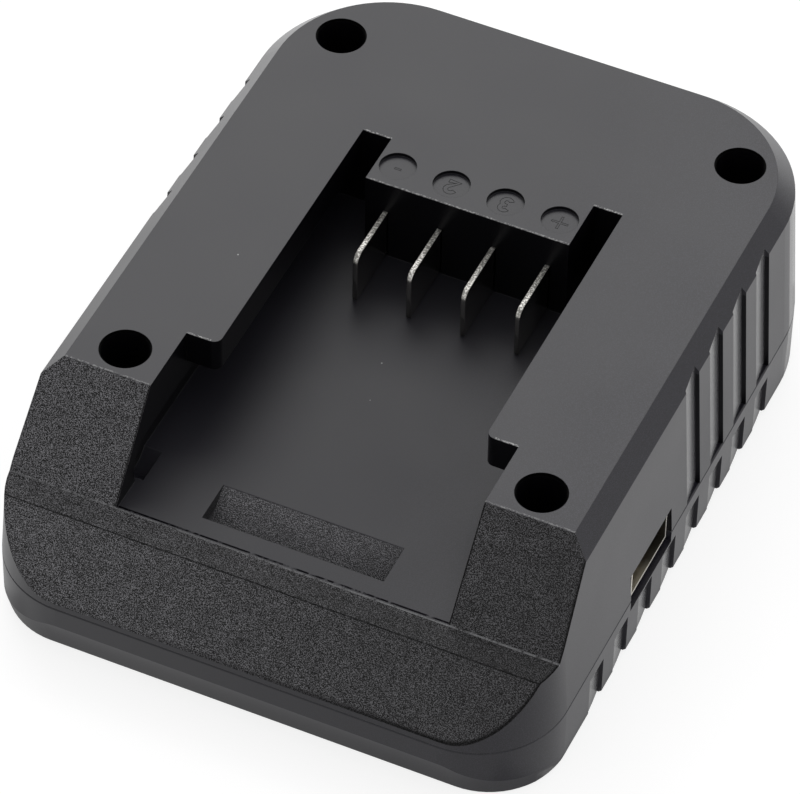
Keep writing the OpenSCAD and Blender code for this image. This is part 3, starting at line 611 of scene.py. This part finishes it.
def floor_mask(tree, at):
    """One on the bay's floor, behind the crease."""
    return all_of(tree, band(tree, at.z, FLOOR_Z, 0.08),
                  ramp(tree, at.y, NOSE["crease_y"] + 0.1, NOSE["crease_y"] + 0.3),
                  band(tree, at.x, 0.0, BAY["half_x"] + 2.7))


def groove_mask(tree, at):
    """One on the floors of the grip grooves: just inside the side walls, facing outwards."""
    return all_of(tree, ramp(tree, at.looks[0], 0.85, 0.9), band(tree, at.depth, 0.55, 0.4))


def wells_mask(tree, at):
    """One in the four driver wells: the distance in plan from the nearest well's axis, with
    both signs of x folded together and y folded about the middle of the two rows."""
    middle = (WELLS["front_y"] + WELLS["rear_y"]) / 2
    across = maths(tree, "SUBTRACT", at.aside, WELLS["x"])
    along = maths(tree, "SUBTRACT", away(tree, at.y, middle), WELLS["rear_y"] - middle)
    return ramp(tree, length(tree, across, along), WELLS["radius"] + 0.05, WELLS["radius"])


def painted_shade_masks(tree, at):
    """The upright walls in the bay and the wells, then the faces painted with shade: those
    walls and the grip grooves' steps at part weight, and the wells' chamfered mouths."""
    wells = wells_mask(tree, at)
    bay = all_of(tree, ramp(tree, at.depth, BAY["inside"], BAY["inside"] + 1.0),
                 ramp(tree, at.y, BAY["rear_y"], BAY["rear_y"] - 1.0))
    walls = all_of(tree, ramp(tree, at.looks[2], 0.3, 0.1), any_of(tree, bay, wells),
                   ramp(tree, at.z, FLOOR_Z - 3.0, FLOOR_Z - 2.0))
    steps = all_of(tree, ramp(tree, at.looks[1], 0.8, 0.9),
                   ramp(tree, at.aside, GRIP["side_x"], GRIP["side_x"] + 0.2),
                   ramp(tree, at.z, GRIP["top_z"], GRIP["top_z"] - 0.2))
    mouths = all_of(tree, band(tree, at.looks[2], math.sqrt(0.5), 0.015, 0.01), wells,
                    ramp(tree, at.z, TOP_Z - 1.0, TOP_Z - 0.8))
    return walls, any_of(tree, mouths, all_of(tree, any_of(tree, walls, steps), 0.6))


def shade_line_masks(tree, at, nose, broken):
    """Painted shade as fine dark line marks: the one in the corner at the front of the bay's
    floor, then that one with those along the nose's rim, on its bend and beside the bay's open
    end."""
    corner = all_of(tree, band(tree, at.y, NOSE["crease_y"] + 0.7, 0.16),
                    band(tree, at.x, 0.0, BAY["half_x"] - 0.1),
                    band(tree, at.z, FLOOR_Z + 0.1, 0.3), broken)
    rim = all_of(tree, nose, ramp(tree, at.depth, 0.5, 0.15),
                 ramp(tree, at.x, -20.0, 25.0, 0.25, 1.0))
    bend = all_of(tree, nose, band(tree, at.y, NOSE["bend_y"], 0.06, 0.08),
                  ramp(tree, broken, 0.0, 1.0, 0.6, 0.95))
    sides = all_of(tree, nose, band(tree, at.aside, BAY["half_x"] + 0.12, 0.07, 0.06),
                   ramp(tree, at.z, NOSE["crease_z"], NOSE["crease_z"] + 0.2))
    return corner, any_of(tree, corner, rim, bend, sides)


def crease_highlight_mask(tree, at, broken):
    """Painted highlight: a pale broken line along the crease, stronger to the right."""
    return all_of(tree, band(tree, at.y, NOSE["crease_y"], 0.09),
                  band(tree, at.z, NOSE["crease_z"], 0.2),
                  ramp(tree, at.x, -10.0, 20.0, 0.6, 1.0), broken)


def chips_mask(tree, at, broken):
    """Chips on the flat top beside its edges that run across: the tongue's front, the rear
    ends of the channels, the rails' front ends and the nose."""
    runs = [all_of(tree, band(tree, at.y, edge + 0.16, 0.12, 0.1),
                   band(tree, at.aside, centre, half), weight)
            for edge, centre, half, weight in CHIPPED]
    specks = ramp(tree, noise(tree, at.place, 3.2, 1.0), 0.42, 0.58)
    return all_of(tree, any_of(tree, *runs), band(tree, at.z, TOP_Z, 0.05), broken, specks)


def stipple(tree, at, cell, nose, pocket):
    """Coarse grain: its height, shade and colour. The colour's paleness carries painted light
    and shade: darker to the right and on the ledge behind the bend, paler in the pocket; its
    patches are random tone."""
    grain = place_group(tree, "Moulded grain", {"Position": at.place, "Cell": cell})
    ledge = all_of(tree, nose, ramp(tree, at.y, NOSE["bend_y"] - 0.1, NOSE["bend_y"] + 0.1),
                   ramp(tree, at.z, NOSE["crease_z"] + 0.2, NOSE["crease_z"]))
    # Painted light and shade: paler to the left, darker on the ledge; random tone in patches
    tone = all_of(tree, ramp(tree, at.x, -44.0, 44.0, 1.1, 0.45),
                  ramp(tree, ledge, 0.0, 1.0, 1.0, 0.65),
                  ramp(tree, noise(tree, at.place, 0.35, 3.0), 0.3, 0.7, 0.85, 1.15))
    # Painted light lifts the pocket
    paleness = shifted(tree, all_of(tree, grain["Shade"], tone), (pocket, 0.2))
    return grain["Height"], grain["Shade"], blend(tree, paleness, GRAIN_DARK, GRAIN_PALE)


def bare_colour(tree, at, colour, grain, cloud, edge):
    """The moulding's own colour, paler in clouds and in grains to the right, and a painted
    highlight on edges.
    """
    grit = maths(tree, "MULTIPLY", maths(tree, "SUBTRACT", grain, 0.4),
                 ramp(tree, at.x, 5.0, 38.0, 0.05, 0.7))
    paleness = maths(tree, "ADD", ramp(tree, cloud, 0.3, 0.7, 0.0, 0.08), grit)
    return painted(tree, colour, (paleness, scaled(colour, 5.0)),
                   (all_of(tree, edge, 0.25), EDGE_HIGHLIGHT))


def leaning_normal(tree, groove, normal):
    """Normal that leans to the front on the floors of the grip grooves."""
    leaning = add(tree, "ShaderNodeVectorMath", {0: groove, 1: GROOVE_LEAN, 2: normal},
                  operation="MULTIPLY_ADD").outputs[0]
    return add(tree, "ShaderNodeVectorMath", {0: leaning}, operation="NORMALIZE").outputs[0]


def textured_look(tree, at, cell, look):
    """The housing's look: a stipple on the nose and in the catch pocket, a duller bay floor,
    painted shade on inner faces, in fine dark line marks and in the stipple's valleys, a painted
    highlight on the crease, and chips. Where shade is painted, black metal leaves next to no
    sheen."""
    nose, pocket = nose_mask(tree, at), pocket_mask(tree, at)
    mask = any_of(tree, nose, pocket)
    height, shade, grains = stipple(tree, at, cell, nose, pocket)
    walls, painted_shade = painted_shade_masks(tree, at)
    broken = ramp(tree, noise(tree, at.place, 0.7, 3.0, 0.7), 0.36, 0.5)
    corner, shade_lines = shade_line_masks(tree, at, nose, broken)
    # Painted shade in the stipple's valleys: metallic there takes the sheen off their dark grain
    valley_shade = all_of(tree, mask, ramp(tree, shade, 0.0, 1.0, 0.36, 0.0))
    return {
        "base": painted(tree, look["base"], (mask, grains), (painted_shade, SHADE_BLACK),
                        (all_of(tree, shade_lines, 0.8), SHADE_BLACK),
                        (all_of(tree, crease_highlight_mask(tree, at, broken), 0.75), CREASE_HIGHLIGHT),
                        (chips_mask(tree, at, broken), CHIP_GREY)),
        "rough": shifted(tree, look["rough"], (floor_mask(tree, at), 0.13), (mask, 0.3),
                         (walls, -0.05)),
        "painted_shade_metallic": any_of(tree, painted_shade, valley_shade, corner, all_of(tree, shade_lines, 0.75)),
        "height": blend(tree, mask, look["height"], height),
        "strength": ramp(tree, mask, 0.0, 1.0, FINE_BUMP, 1.0),
    }


def moulding_material(name, colour, settings, textured):
    """Satin black moulding: soft edges, faint grain everywhere, uneven sheen, coated floors
    of the grip grooves, worn edges and dust. The housing is textured as well."""
    material, tree, shader = new_material(
        name, IOR=1.5, Specular_IOR_Level=0.5, Coat_IOR=1.6, Coat_Roughness=0.25)
    at = body_point(tree)
    edges = place_group(tree, "Soft edges", {
        "Position": at.place, "Radius": settings.edge_radius, "Patchiness": 0.55})
    fine = place_group(tree, "Moulded grain", {"Position": at.place, "Cell": FINE_CELL})
    dust = place_group(tree, "Dust specks", {"Position": at.place, "Spacing": 8.0, "Size": 0.016})
    cloud = noise(tree, at.place, 0.05, 2.0)
    groove = groove_mask(tree, at)
    look = {
        "base": bare_colour(tree, at, colour, fine["Shade"], cloud, edges["Edge"]),
        "rough": shifted(tree, ramp(tree, cloud, 0.3, 0.7, 0.33, 0.37), (groove, -0.06)),
        "height": fine["Height"],
        "strength": FINE_BUMP,
    }
    if textured:
        look = textured_look(tree, at, settings.stipple_cell / MM, look)
        connect(tree, shader, Metallic=look["painted_shade_metallic"])
    base = painted(tree, look["base"], (all_of(tree, edges["Wear"], 0.6), WORN_GREY),
                   (dust["Mask"], DUST_GREY))
    normal = leaning_normal(tree, groove, edges["Normal"])
    connect(tree, shader, Base_Color=base, Roughness=look["rough"], Coat_Weight=groove,
            Normal=bump(tree, look["height"], normal, look["strength"], 0.00025))
    return material


def plain_plastic(name, colour, roughness=0.45, cell=0.2):
    """Small moulded part: grain, soft edges and a slight change of tone."""
    material, tree, shader = new_material(name)
    place, *_ = position_mm(tree)
    edges = place_group(tree, "Soft edges", {"Position": place, "Radius": PLASTIC_RADIUS})
    grain = place_group(tree, "Moulded grain", {"Position": place, "Cell": cell})
    connect(tree, shader,
            Base_Color=blend(tree, grain["Shade"], colour, scaled(colour, 1.25)),
            Roughness=ramp(tree, grain["Shade"], 0, 1, roughness - 0.05, roughness + 0.05),
            Normal=bump(tree, grain["Height"], edges["Normal"], 0.15, 0.0001))
    return material


def plated_metal(name, colour, roughness=0.25):
    """Plated sheet: drawn streaks along y, and a duller tone in patches."""
    material, tree, shader = new_material(name, Metallic=1.0)
    place, *_ = position_mm(tree)
    edges = place_group(tree, "Soft edges", {"Position": place, "Radius": METAL_RADIUS})
    stretched = add(tree, "ShaderNodeMapping", {"Vector": place, "Scale": (40.0, 0.6, 40.0)})
    streaks = noise(tree, stretched.outputs[0], 1.0, 3.0)
    patches = noise(tree, place, 0.5, 3.0)
    connect(tree, shader,
            Base_Color=blend(tree, ramp(tree, patches, 0.35, 0.7), colour, scaled(colour, 0.7)),
            Roughness=ramp(tree, streaks, 0.3, 0.7, roughness - 0.08, roughness + 0.12),
            Normal=bump(tree, streaks, edges["Normal"], 0.12, 0.00005))
    return material


def sheared_nickel(colour):
    """Plated strip: smooth faces, and an upper edge that the shears left rough, pale and
    speckled along its length."""
    material, tree, shader = new_material("blade_nickel")
    place, *_ = position_mm(tree)
    edges = place_group(tree, "Soft edges", {"Position": place, "Radius": METAL_RADIUS})
    grain = place_group(tree, "Moulded grain", {"Position": place, "Cell": 0.3})
    sheared = ramp(tree, facing(tree, "Normal")[2], 0.2, 0.8)
    specks = blend(tree, grain["Shade"], (0.3, 0.29, 0.27, 1), (0.95, 0.93, 0.88, 1))
    connect(tree, shader,
            Base_Color=blend(tree, sheared, scaled(colour, 0.7), specks),
            Metallic=ramp(tree, sheared, 0, 1, 1.0, 0.35),
            Roughness=ramp(tree, sheared, 0, 1, 0.2, 0.42),
            Normal=bump(tree, grain["Height"], edges["Normal"], 0.1, 0.00005))
    return material


def folded_shell(colour):
    """Plated shell: drawn sheet with painted shade towards the rear, and a cut rim, pale and
    rough, that faces the outlet's opening."""
    material, tree, shader = new_material("shell_metal")
    place, _, y, _ = position_mm(tree)
    edges = place_group(tree, "Soft edges", {"Position": place, "Radius": METAL_RADIUS})
    grain = place_group(tree, "Moulded grain", {"Position": place, "Cell": 0.3})
    rim = ramp(tree, facing(tree, "Normal")[0], 0.5, 0.9)
    # Painted shade: the sheet darkens towards the rear
    sheet = blend(tree, ramp(tree, y, -15.0, -12.5), colour, scaled(colour, 0.3))
    connect(tree, shader,
            Base_Color=blend(tree, rim, sheet, (0.95, 0.92, 0.85, 1)),
            Metallic=ramp(tree, rim, 0, 1, 1.0, 0.3),
            Roughness=ramp(tree, rim, 0, 1, 0.3, 0.45),
            Normal=bump(tree, grain["Height"], edges["Normal"], 0.1, 0.00005))
    return material


def board_material():
    """Solder mask over copper traces: a brick pattern of green runs with darker gaps under
    a clear coat, and bare tinned pads near the points of a grid."""
    material, tree, shader = new_material("solder_mask", Coat_Roughness=0.1)
    place, *_ = position_mm(tree)
    traces = add(tree, "ShaderNodeTexBrick", {
        "Vector": place, "Scale": 0.22, "Mortar Size": 0.06, "Color1": (0.012, 0.11, 0.035, 1),
        "Color2": (0.016, 0.14, 0.045, 1), "Mortar": (0.008, 0.06, 0.02, 1)})
    grid = add(tree, "ShaderNodeTexVoronoi", {"Vector": place, "Scale": 0.25, "Randomness": 0.35})
    pads = maths(tree, "LESS_THAN", grid.outputs["Distance"], 0.16)
    connect(tree, shader,
            Base_Color=blend(tree, pads, traces.outputs["Color"], (0.55, 0.55, 0.56, 1)),
            Metallic=pads, Roughness=ramp(tree, pads, 0, 1, 0.3, 0.22),
            Coat_Weight=ramp(tree, pads, 0, 1, 0.6, 0.0))
    return material


def winding_material(name, colour, pitch, glossy):
    """Turns of wire or tape: a wave of that pitch across the coil, bumped, and painted shade
    between the turns.
    """
    material, tree, shader = new_material(name, Metallic=1.0 if glossy else 0.0)
    place, *_ = position_mm(tree)
    turns = add(tree, "ShaderNodeTexWave", {
        "Vector": place, "Scale": 0.31 / pitch, "Distortion": 0.4, "Detail": 1.0},
        wave_type="BANDS", bands_direction="Z")
    crest = turns.outputs["Fac"]
    connect(tree, shader,
            Base_Color=blend(tree, crest, scaled(colour, 0.45), colour),
            Roughness=ramp(tree, crest, 0, 1, 0.5, 0.28),
            Normal=bump(tree, crest, None, 0.5, 0.0002))
    return material


# ------------------------------ operators


class PieceOperator:
    """What every operator here shares."""

    bl_options = {"REGISTER", "UNDO"}

    @classmethod
    def poll(cls, context):
        return context.scene is not None


class CHARGER_OT_mouldings(PieceOperator, bpy.types.Operator):
    """Finish the top housing and the bottom cover"""

    bl_idname = "charger.mouldings"
    bl_label = "Mouldings"

    def execute(self, context):
        settings = context.scene.charger_housing
        dress("top_housing", moulding_material(
            "housing_plastic", tuple(settings.housing_colour), settings, True))
        dress("bottom_cover", moulding_material(
            "cover_plastic", tuple(settings.cover_colour), settings, False))
        dress("terminal_block", plain_plastic("block_plastic", (0.012, 0.012, 0.012, 1), 0.5))
        return {"FINISHED"}


class CHARGER_OT_blades(PieceOperator, bpy.types.Operator):
    """Make the four contact blades with coined edges"""

    bl_idname = "charger.blades"
    bl_label = "Contact blades"

    def execute(self, context):
        settings = context.scene.charger_blades
        nickel = sheared_nickel(tuple(settings.colour))
        for name, box in zip(BLADES, BLADE_BOX):
            outline = blade_points(box, settings)
            points, faces = rounded_plate(
                anticlockwise(outline), box[0, 0], box[1, 0], settings.edge_radius / MM)
            piece = mesh_piece(f"contact_{name[-1]}", points[:, [2, 0, 1]], faces)
            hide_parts(name)
            dress(piece, nickel)
        return {"FINISHED"}


class CHARGER_OT_marks(PieceOperator, bpy.types.Operator):
    """Engrave the generic marks in the four round recesses"""

    bl_idname = "charger.marks"
    bl_label = "Marks"

    def execute(self, context):
        settings = context.scene.charger_marks
        floor_z = TOP_Z - settings.recess_depth / MM
        ink = plain_plastic("mark_line", tuple(settings.colour), 0.6)
        names = ("minus", "two", "three", "plus")
        for name, box, outline in zip(names, BLADE_BOX, mark_outlines(settings.stroke / MM)):
            centre = np.array([box[:, 0].mean(), settings.centre_y / MM])
            placed = anticlockwise(centre - outline)
            heights = [floor_z + height for height in MARK_HEIGHTS]
            points, faces = ribbon_loop(placed, settings.line / MM / 2, *heights)
            piece = mesh_piece(f"mark_{name}", points, faces, smooth=False)
            dress(piece, ink)
        return {"FINISHED"}


class CHARGER_OT_usb(PieceOperator, bpy.types.Operator):
    """Finish the USB outlet"""

    bl_idname = "charger.usb"
    bl_label = "USB outlet"

    def execute(self, context):
        dress("usb_shell", folded_shell((0.75, 0.71, 0.62, 1)))
        dress("usb_insulator", plain_plastic("insulator_plastic", (0.3, 0.285, 0.24, 1), 0.5))
        dress("usb_contacts", plated_metal("gold_plate", (0.83, 0.62, 0.26, 1), 0.22))
        return {"FINISHED"}


class CHARGER_OT_inlet(PieceOperator, bpy.types.Operator):
    """Finish the mains inlet, the light pipe and the feet"""

    bl_idname = "charger.inlet"
    bl_label = "Inlet, indicator and feet"

    def execute(self, context):
        dress("mains_inlet", plain_plastic("inlet_plastic", (0.014, 0.014, 0.014, 1), 0.42))
        dress("inlet_pins", plated_metal("pin_nickel", (0.72, 0.70, 0.66, 1), 0.2))
        dress("light_pipe", plain_plastic("pipe_plastic", (0.55, 0.62, 0.56, 1), 0.2, 0.5))
        dress("charge_led", plain_plastic("led_plastic", (0.25, 0.55, 0.28, 1), 0.2, 0.5))
        dress("rubber_feet", plain_plastic("foot_rubber", (0.016, 0.016, 0.016, 1), 0.75, 0.3))
        return {"FINISHED"}


class CHARGER_OT_screws(PieceOperator, bpy.types.Operator):
    """Finish the screws"""

    bl_idname = "charger.screws"
    bl_label = "Screws"

    def execute(self, context):
        dress("case_screws", plated_metal("black_zinc", (0.12, 0.12, 0.125, 1), 0.4))
        dress("board_screws", plated_metal("bright_zinc", (0.6, 0.6, 0.62, 1), 0.3))
        return {"FINISHED"}


class CHARGER_OT_board(PieceOperator, bpy.types.Operator):
    """Finish the circuit board and its components"""

    bl_idname = "charger.board"
    bl_label = "Circuit board"

    def execute(self, context):
        dress("circuit_board", board_material())
        dress(("transformer_core", "choke_core", "output_inductor"),
              plain_plastic("ferrite", (0.03, 0.03, 0.034, 1), 0.6, 0.25))
        dress(("controller_chips", "bridge_rectifier", "power_transistor", "input_fuse"),
              plain_plastic("chip_epoxy", (0.02, 0.02, 0.021, 1), 0.5, 0.15))
        dress(("bulk_capacitor", "output_capacitors"),
              plain_plastic("capacitor_sleeve", (0.02, 0.03, 0.09, 1), 0.3, 1.5))
        dress("transformer_bobbin", plain_plastic("bobbin_plastic", (0.5, 0.45, 0.3, 1), 0.5))
        dress("transformer_winding", winding_material(
            "winding_tape", (0.7, 0.5, 0.05, 1), 0.6, False))
        dress("filter_choke", winding_material("choke_copper", (0.7, 0.33, 0.16, 1), 0.4, True))
        dress("safety_capacitor", plain_plastic("blue_epoxy", (0.03, 0.12, 0.35, 1), 0.25, 1.0))
        dress("heat_sink", plated_metal("sheet_aluminium", (0.7, 0.71, 0.73, 1), 0.35))
        return {"FINISHED"}


class CHARGER_OT_stage(PieceOperator, bpy.types.Operator):
    """Set the floor, the lamps and the camera"""

    bl_idname = "charger.stage"
    bl_label = "Stage"

    def execute(self, context):
        settings = context.scene.charger_stage
        make_camera(context.scene, settings)
        make_floor(settings)
        make_world(context.scene)
        for name, (place, aim, width, height, watts) in LAMPS.items():
            area_lamp(name, place, aim, width, height, watts)
        context.scene.view_settings.view_transform = "Standard"
        return {"FINISHED"}


def make_camera(scene, settings):
    """Camera at a distance from its target, turned by azimuth, elevation and roll."""
    azimuth, elevation, roll = settings.azimuth, settings.elevation, settings.roll
    back = Vector((math.sin(azimuth) * math.cos(elevation),
                   -math.cos(azimuth) * math.cos(elevation), math.sin(elevation)))
    level = Vector((math.cos(azimuth), math.sin(azimuth), 0))
    upright = back.cross(level)
    right = math.cos(roll) * level + math.sin(roll) * upright
    up = math.cos(roll) * upright - math.sin(roll) * level
    data = bpy.data.cameras.new("camera")
    data.sensor_fit = "HORIZONTAL"
    data.sensor_width = 36.0
    data.lens = settings.lens
    data.clip_start = 0.01
    camera = bpy.data.objects.new("camera", data)
    turn = Matrix((right, up, back)).transposed().to_4x4()
    place = Vector(settings.target) + settings.distance * back
    camera.matrix_world = Matrix.Translation(place) @ turn
    scene.collection.objects.link(camera)
    scene.camera = camera


def make_floor(settings):
    """Level disc just under the feet, in rings round a polygon in the middle."""
    radius, turn = np.meshgrid(
        np.linspace(SHEET["inner"], SHEET["outer"], SHEET["rings"]),
        np.linspace(0, 2 * np.pi, SHEET["sectors"], endpoint=False), indexing="ij")
    points = np.stack([radius * np.cos(turn), radius * np.sin(turn),
                       np.full(radius.shape, SHEET["z"])], axis=-1)
    faces = grid_faces(SHEET["rings"], SHEET["sectors"])
    faces.append(list(range(SHEET["sectors"])))
    mesh = bpy.data.meshes.new("floor")
    mesh.from_pydata(points.reshape(-1, 3).tolist(), [], faces)
    mesh.update()
    floor = bpy.data.objects.new("floor", mesh)
    bpy.context.scene.collection.objects.link(floor)
    dress(floor, floor_material(tuple(settings.floor_colour)))


def floor_material(colour):
    """Paper sheet. The camera sees it as white that keeps the object's shadow; reflections
    see it glow with painted light: painted shade under the body's edge, and painted light
    rising towards the key lamp at the far left."""
    material, tree, shader = new_material(
        "floor_sheet", Base_Color=colour, Roughness=0.9, Specular_IOR_Level=0.1)
    _, x, y, _ = position_mm(tree)
    slope = maths(tree, "ADD", *(
        maths(tree, "MULTIPLY", value, weight) for value, weight in zip((x, y), LAMP_SLOPE)))
    clear = maths(tree, "ADD", *(
        maths(tree, "MAXIMUM", maths(tree, "SUBTRACT", maths(tree, "ABSOLUTE", value), half), 0.0)
        for value, half in zip((x, y), BODY_HALF)))
    # Painted shade under the body's edge, times painted light rising towards the key lamp
    sheet = all_of(tree, ramp(tree, clear, 0.0, 0.8, 0.5, 1.0),
                   ramp(tree, slope, -0.65, -0.3, 0.38, 0.66))
    painted_reflection_light = maths(tree, "ADD", ramp(tree, slope, 0.65, 1.3, 0.0, 1.15), sheet)
    path = add(tree, "ShaderNodeLightPath").outputs
    beyond = any_of(tree, path["Is Glossy Ray"], path["Is Transmission Ray"])
    strength = shifted(tree, all_of(tree, beyond, painted_reflection_light), (path["Is Camera Ray"], 0.8))
    glow = add(tree, "ShaderNodeEmission", {"Color": (1, 1, 1, 1), "Strength": strength})
    both = add(tree, "ShaderNodeAddShader", {0: shader.outputs[0], 1: glow.outputs[0]})
    output = next(node for node in tree.nodes if node.type == "OUTPUT_MATERIAL")
    tree.links.new(both.outputs[0], output.inputs["Surface"])
    return material


def make_world(scene):
    """Even grey surroundings that the camera sees as white."""
    world = bpy.data.worlds.new("studio")
    world.use_nodes = True
    tree = world.node_tree
    tree.nodes.clear()
    path = add(tree, "ShaderNodeLightPath").outputs
    strength = ramp(tree, path["Is Camera Ray"], 0, 1, WORLD_STRENGTH, 1.0)
    background = add(tree, "ShaderNodeBackground", {"Color": (1, 1, 1, 1), "Strength": strength})
    output = tree.nodes.new("ShaderNodeOutputWorld")
    tree.links.new(background.outputs[0], output.inputs["Surface"])
    scene.world = world


def area_lamp(name, place, aim, width, height, watts):
    """Rectangular lamp that faces its aim."""
    data = bpy.data.lights.new(name, "AREA")
    data.shape = "RECTANGLE"
    data.size, data.size_y, data.energy = width, height, watts
    lamp = bpy.data.objects.new(name, data)
    turn = (Vector(place) - Vector(aim)).to_track_quat("Z", "Y").to_matrix().to_4x4()
    lamp.matrix_world = Matrix.Translation(place) @ turn
    bpy.context.scene.collection.objects.link(lamp)


class CHARGER_PT_panel(bpy.types.Panel):
    """Sidebar panel with the pieces and their settings"""

    bl_idname = "CHARGER_PT_panel"
    bl_label = "Battery charger"
    bl_space_type = "VIEW_3D"
    bl_region_type = "UI"
    bl_category = "Charger"

    def draw(self, context):
        layout = self.layout
        for name, group in SETTINGS.items():
            box = layout.box()
            for key in group.__annotations__:
                box.prop(getattr(context.scene, name), key)
        for operator in OPERATORS:
            layout.operator(operator.bl_idname)


SETTINGS = {
    "charger_housing": ChargerHousingSettings,
    "charger_blades": ChargerBladeSettings,
    "charger_marks": ChargerMarkSettings,
    "charger_stage": ChargerStageSettings,
}
OPERATORS = (CHARGER_OT_stage, CHARGER_OT_mouldings, CHARGER_OT_blades, CHARGER_OT_marks,
             CHARGER_OT_usb, CHARGER_OT_inlet, CHARGER_OT_screws, CHARGER_OT_board)


def register():
    for cls in (*SETTINGS.values(), *OPERATORS, CHARGER_PT_panel):
        bpy.utils.register_class(cls)
    for name, group in SETTINGS.items():
        setattr(bpy.types.Scene, name, bpy.props.PointerProperty(type=group))


def unregister():
    for name in SETTINGS:
        delattr(bpy.types.Scene, name)
    for cls in (CHARGER_PT_panel, *OPERATORS, *SETTINGS.values()):
        bpy.utils.unregister_class(cls)


def main():
    register()
    bpy.ops.charger.stage()
    bpy.ops.charger.mouldings()
    bpy.ops.charger.blades()
    bpy.ops.charger.marks()
    bpy.ops.charger.usb()
    bpy.ops.charger.inlet()
    bpy.ops.charger.screws()
    bpy.ops.charger.board()


if __name__ == "__main__":
    main()
